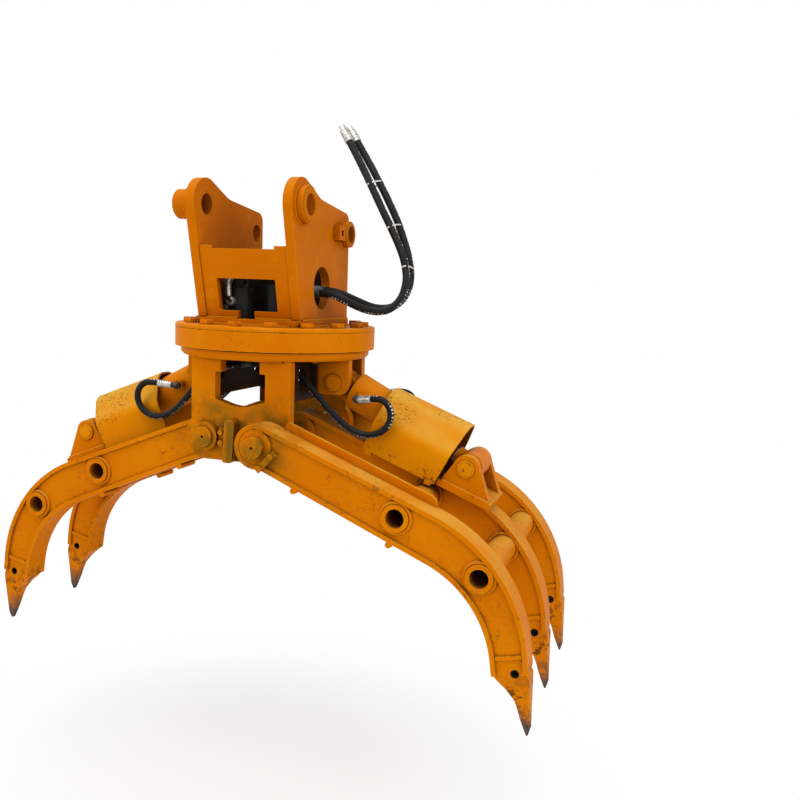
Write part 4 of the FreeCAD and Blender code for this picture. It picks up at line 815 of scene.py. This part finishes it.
# %% Cylinder hoses
claw_diameter = 0.022
claw_route = [
    (0.082, -0.082, 0.226), (0.118, -0.112, 0.218), (0.150, -0.136, 0.206), (0.184, -0.152, 0.184),
    (0.225, -0.155, 0.145), (0.266, -0.146, 0.099), (0.316, -0.140, 0.052), (0.369, -0.136, 0.026),
    (0.422, -0.133, 0.026), (0.464, -0.131, 0.056), (0.476, -0.131, 0.102), (0.452, -0.128, 0.141),
    (0.408, -0.118, 0.1445), (0.3614, -0.1042, 0.1360)]
elbow_middle = (0.3386, -0.0975, 0.1334)
pipe_profile = [(0, 0), (0, 0.0065), (0.024, 0.0065), (0.024, 0)]
ball_radius, ball_steps = 0.009, 12
ball_angles = [math.pi * k / ball_steps for k in range(ball_steps + 1)]
ball_profile = [(-ball_radius * math.cos(a), ball_radius * math.sin(a)) for a in ball_angles]
for side, side_name in ((1, "right"), (-1, "left")):
    cylinder = side_name + "_cylinder"
    for depth, depth_name in ((1, "front"), (-1, "rear")):
        label = side_name + "_" + depth_name
        line = smooth_line([drawn(point, side, depth) for point in claw_route])
        elbow = drawn(elbow_middle, side, depth)
        into = (elbow - line[-1]).normalized()
        start = (line[0] - line[1]).normalized()
        sleeve = add_piece("barrel_ferrule_" + label,
                           crimped(line[-1] - into * 0.040, into, 0.050, 0.0126, 6),
                           zinc, cylinder)
        fitting = add_piece("barrel_elbow_" + label, joined_mesh("ends", [
            turned_mesh(pipe_profile, line[-1], into),
            turned_mesh(ball_profile, elbow, (0, 0, 1)),
            hexagon_mesh(0.0240, 0.014, elbow, (0, depth, 0))]),
            dark_steel, cylinder)
        # Painted shade and oily dirt: the ferrule at the rotary joint is dark steel, for the dark inside the
        # frame.
        joint_end = add_piece("joint_ferrule_" + label,
                              crimped(line[0] - start * 0.012, start, 0.038, 0.0148),
                              dark_steel, "carrier")
        hose = add_piece("cylinder_line_" + label,
                         tube_mesh("cylinder_line_" + label, line, claw_diameter / 2),
                         rubber, None)
        for piece in (sleeve, fitting, joint_end, hose):
            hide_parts(side_name + "_claw_hoses")
        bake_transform(hose)
        print("cylinder hose", label, round(line_length(line), 3))

# %% [markdown]
# ## Fittings on the motor
#
# Through the window in the front plate one sees a short plated hose end that hangs from the motor's
# port, the round union it goes into, and a small plug beside it.

# %% Hose end, union and plug in the window
forwards = Vector((0, -1, 0))
downwards = Vector((0, 0, -1))
port = drawn((-0.105, -0.152, 0.507))
union_profile = [(0, 0), (0, 0.0145), (0.002, 0.016), (0.020, 0.016), (0.024, 0.013), (0.024, 0.008),
                 (0.020, 0.006), (0.020, 0)]
motor_bits = joined_mesh("motor_bits", [
    hexagon_mesh(0.026, 0.026, port - forwards * 0.013, forwards),
    turned_mesh([(0, 0), (0, 0.012), (0.018, 0.012), (0.018, 0)], port - downwards * 0.004, downwards),
    crimped(port + downwards * 0.010, (0.06, 0, -1), 0.044, 0.0105),
    turned_mesh(union_profile, drawn((-0.096, -0.134, 0.437)), forwards),
    hexagon_mesh(0.015, 0.008, drawn((-0.121, -0.134, 0.417)), forwards),
    turned_mesh([(0, 0), (0, 0.006), (0.018, 0.006), (0.018, 0)], drawn((-0.121, -0.118, 0.417)), forwards)])
add_piece("motor_fittings", motor_bits, zinc, "head")
stub_route = ((0.003, 0, -0.050), (0.004, -0.002, -0.056), (0.007, -0.001, -0.062), (0.009, 0.002, -0.070))
stub_line = smooth_line([port + Vector(point) for point in stub_route])
add_piece("gear_stub", tube_mesh("gear_stub", stub_line, 0.008), black_paint, "head")
print("motor fittings at", [round(v, 3) for v in port])

# %% [markdown]
# ## Weld beads
#
# The plates are welded and then sprayed, so a bead is a rippled, painted rope of steel along each
# joint. A small circle is swept round the tube or along the seam, and its thickness is then changed
# in waves, one for each drop of the weld.

# %% Make beads
ripple_length = 0.009
ripple_share = 0.10
steps_per_ripple = 3
bead_sides = 9


def ripple_ring(place, ahead, radius, size):
    """A bead round a tube of the given radius."""
    bm = bmesh.new()
    dots = bmesh.ops.create_circle(bm, segments=bead_sides, radius=size, cap_ends=False)["verts"]
    bmesh.ops.rotate(bm, verts=dots, cent=(0, 0, 0), matrix=Matrix.Rotation(math.pi / 2, 3, "X"))
    bmesh.ops.translate(bm, verts=dots, vec=(radius, 0, 0))
    waves = round(2 * math.pi * radius / ripple_length)
    bmesh.ops.spin(bm, geom=bm.verts[:] + bm.edges[:], cent=(0, 0, 0), axis=(0, 0, 1),
                   angle=2 * math.pi, steps=waves * steps_per_ripple, use_merge=True)
    for vertex in bm.verts:
        angle = math.atan2(vertex.co.y, vertex.co.x)
        middle = Vector((math.cos(angle), math.sin(angle), 0)) * radius
        vertex.co = middle + (vertex.co - middle) * (1 + ripple_share * math.sin(angle * waves))
    return finished(bm, place, ahead)


def ripple_seam(start, end, size):
    """A straight bead between two places as drawn."""
    start, end = drawn(start), drawn(end)
    bm = bmesh.new()
    bmesh.ops.create_circle(bm, segments=bead_sides, radius=size, cap_ends=True)
    length = (end - start).length
    steps = max(3, round(length / ripple_length * steps_per_ripple))
    bmesh.ops.spin(bm, geom=bm.edges[:], cent=(0, 0, 0), axis=(0, 0, 1), dvec=(0, 0, length / steps),
                   angle=0.0, steps=steps)
    last = [v for v in bm.verts if v.co.z > length - merge_distance]
    bmesh.ops.contextual_create(bm, geom=last)
    for vertex in bm.verts:
        wave = 1 + ripple_share * math.sin(vertex.co.z / ripple_length * 2 * math.pi)
        vertex.co.x *= wave
        vertex.co.y *= wave
    return finished(bm, start, end - start)


print("ripples every", ripple_length)

# %% Beads on the head
base_top, base_underside = 0.384, 0.364
head_beads = []
for side in (1, -1):
    head_beads.append(ripple_ring(drawn((0.185 * side, -0.205, 0.748)), (side, 0, 0), 0.0605, 0.0048))
    head_beads.append(ripple_ring(drawn((0.185 * side, 0.142, 0.679)), (side, 0, 0), 0.0465, 0.0045))
    head_beads.append(ripple_seam((0.186 * side, -0.198, base_top), (0.186 * side, 0.184, base_top),
                                  0.0060))
    head_beads.append(ripple_seam((0.199 * side, -0.170, base_underside),
                                  (0.199 * side, 0.155, base_underside), 0.0055))
head_beads.append(ripple_ring(drawn((-0.2135, -0.205, 0.748)), (-1, 0, 0), 0.0490, 0.0042))
for y in (-0.217, 0.202):
    head_beads.append(ripple_seam((-0.152, y, base_underside), (0.152, y, base_underside), 0.0055))
for start_x, end_x, y in ((-0.153, -0.042, -0.200), (0.023, 0.153, -0.200), (-0.153, 0.153, 0.177)):
    head_beads.append(ripple_seam((start_x, y, base_top), (end_x, y, base_top), 0.0050))
add_piece("head_welds", joined_mesh("head_welds", head_beads), paint_head, "head")
print("head beads", len(head_beads))

# %% Beads on the frame
flange_underside = 0.257
frame_beads = []
for depth in (1, -1):
    plate_face, web_face = -0.259 * depth, -0.076 * depth
    frame_beads.append(ripple_seam((-0.150, plate_face, flange_underside),
                                   (0.150, plate_face, flange_underside), 0.0060))
    for side in (1, -1):
        frame_beads.append(ripple_seam((0.205 * side, web_face, flange_underside),
                                       (0.298 * side, web_face, flange_underside), 0.0055))
add_piece("frame_welds", joined_mesh("frame_welds", frame_beads), paint_frame, "carrier")
print("frame beads", len(frame_beads))

# %% [markdown]
# On a claw the widest beads run round the cross tubes, where these pass through the tines' side plates.
# Seams also hold the rod lugs to their base. The straight back of a tine slopes, so a helper gives a
# point by how far along the back and how high above it lies.

# %% Beads on the claws
back_slope = math.radians(21.3)
hub_radius = 0.070
tube_middles = ((0.5775, -0.172), (0.8375, -0.319))
base_height, base_from, base_to = 0.021, 0.524, 0.688


def on_back(along, height, across, side):
    """A place as drawn on the straight back of a tine."""
    x = claw_pivot_out + along * math.cos(back_slope) + (hub_radius + height) * math.sin(back_slope)
    z = -along * math.sin(back_slope) + (hub_radius + height) * math.cos(back_slope)
    return x * side, across, z


# for each side plate: how far it lies from the middle, and whether its bead faces out (1) or in (-1)
claws = {"right": (1, ((0.368, 1), (0.298, -1), (0.035, 1))), "left": (-1, ((0.210, 1), (0.140, -1)))}
for side_name, (side, plates) in claws.items():
    beads = []
    for tube_x, tube_z in tube_middles:
        for face, outwards in plates:
            for depth in (1, -1):
                beads.append(ripple_ring(drawn((tube_x * side, face * depth, tube_z)),
                                         (0, outwards * depth, 0), 0.0455, 0.0080))
    for depth in (1, -1):
        edge = 0.093 * depth
        beads.append(ripple_seam(on_back(base_from, base_height, edge, side),
                                 on_back(base_to, base_height, edge, side), 0.0055))
    add_piece(side_name + "_claw_welds", joined_mesh(side_name + "_claw_welds", beads), paint_claw,
              side_name + "_claw")
    print(side_name, "claw beads", len(beads))

# %% [markdown]
# ## Floor, backdrop and light
#
# The light of an overcast day comes from everywhere, most from above. The world gives the even part, a
# wide lamp overhead gives the tops their lighter tone, two weak ones from the front left and the right
# shape the upright faces, and the floor throws some light back up. The floor fades to white away from
# the grapple, so that only a soft shadow shows. It lies lower than the grapple needs at rest, because
# the tooth tips sink by 0.39 m as the claws close.

# %% What only the eye sees
white = (1, 1, 1, 1)


def seen_rays(tree):
    """1 on the rays that reach the eye straight, by a reflection or through glass."""
    rays = add_node(tree, "ShaderNodeLightPath").outputs
    return largest(tree, rays["Is Camera Ray"], rays["Is Glossy Ray"], rays["Is Transmission Ray"])


def mix_shaders(tree, mask, first, second, target):
    blend = add_node(tree, "ShaderNodeMixShader", i0=mask)
    tree.links.new(first.outputs[0], blend.inputs[1])
    tree.links.new(second.outputs[0], blend.inputs[2])
    tree.links.new(blend.outputs[0], tree.nodes[target].inputs["Surface"])


print("backdrop", white[:3])

# %% Floor
closing_room = 0.42
floor_size = 30.0
fade_from, fade_to = 0.3, 1.4
white_at_middle = 0.60


def floor_finish():
    """Pale floor under the grapple that turns to plain white away from it."""
    material, tree, shader = new_material("pale_floor", 0.9, specular=0.1)
    shader.inputs["Base Color"].default_value = (0.88, 0.88, 0.87, 1)
    glow = add_node(tree, "ShaderNodeEmission", Color=white, Strength=1.0)
    place = add_node(tree, "ShaderNodeTexCoord").outputs["Object"]
    flat = add_node(tree, "ShaderNodeVectorMath", {"operation": "MULTIPLY"}, i0=place, i1=(1, 1, 0))
    far = add_node(tree, "ShaderNodeVectorMath", {"operation": "LENGTH"}, i0=flat.outputs[0])
    away = ramp(tree, far.outputs["Value"], fade_from, fade_to)
    fade = plus(tree, white_at_middle, times(tree, away, 1.0 - white_at_middle))
    mix_shaders(tree, times(tree, fade, seen_rays(tree)), shader, glow, "Material Output")
    return material


floor_height = cad_box[0].z - closing_room
floor_mesh = bpy.data.meshes.new("floor")
bm = bmesh.new()
bmesh.ops.create_grid(bm, x_segments=1, y_segments=1, size=floor_size)
bmesh.ops.translate(bm, verts=bm.verts, vec=(0, 0, floor_height))
bm.to_mesh(floor_mesh)
bm.free()
floor = bpy.data.objects.new("floor", floor_mesh)
bpy.context.scene.collection.objects.link(floor)
floor.data.materials.append(floor_finish())
print("floor at", round(floor_height, 3))

# %% World and lamps
world = bpy.data.worlds.new("overcast")
bpy.context.scene.world = world
world.use_nodes = True
sky = world.node_tree.nodes["Background"]
sky.inputs["Color"].default_value = (0.96, 0.97, 1.0, 1)
sky.inputs["Strength"].default_value = 0.62
backdrop = add_node(world.node_tree, "ShaderNodeBackground", Color=white, Strength=1.0)
mix_shaders(world.node_tree, seen_rays(world.node_tree), sky, backdrop, "World Output")


def area_lamp(name, place, aim_height, size, watts):
    """A square lamp that is turned to a point on the slewing axis."""
    lamp = bpy.data.lights.new(name, "AREA")
    lamp.size = size
    lamp.energy = watts
    holder = bpy.data.objects.new(name, lamp)
    holder.location = place
    ahead = Vector((0, drawn_from.y, aim_height)) - Vector(place)
    holder.rotation_euler = ahead.to_track_quat("-Z", "Y").to_euler()
    bpy.context.scene.collection.objects.link(holder)


area_lamp("sky", (-0.6, -1.0, 3.4), -0.9, 3.5, 110.0)
area_lamp("front", (-2.6, -3.4, 0.6), -0.8, 2.0, 30.0)
area_lamp("side", (3.6, -1.2, 0.3), -0.6, 2.0, 38.0)
print("lamps", [lamp.name for lamp in bpy.data.lights])
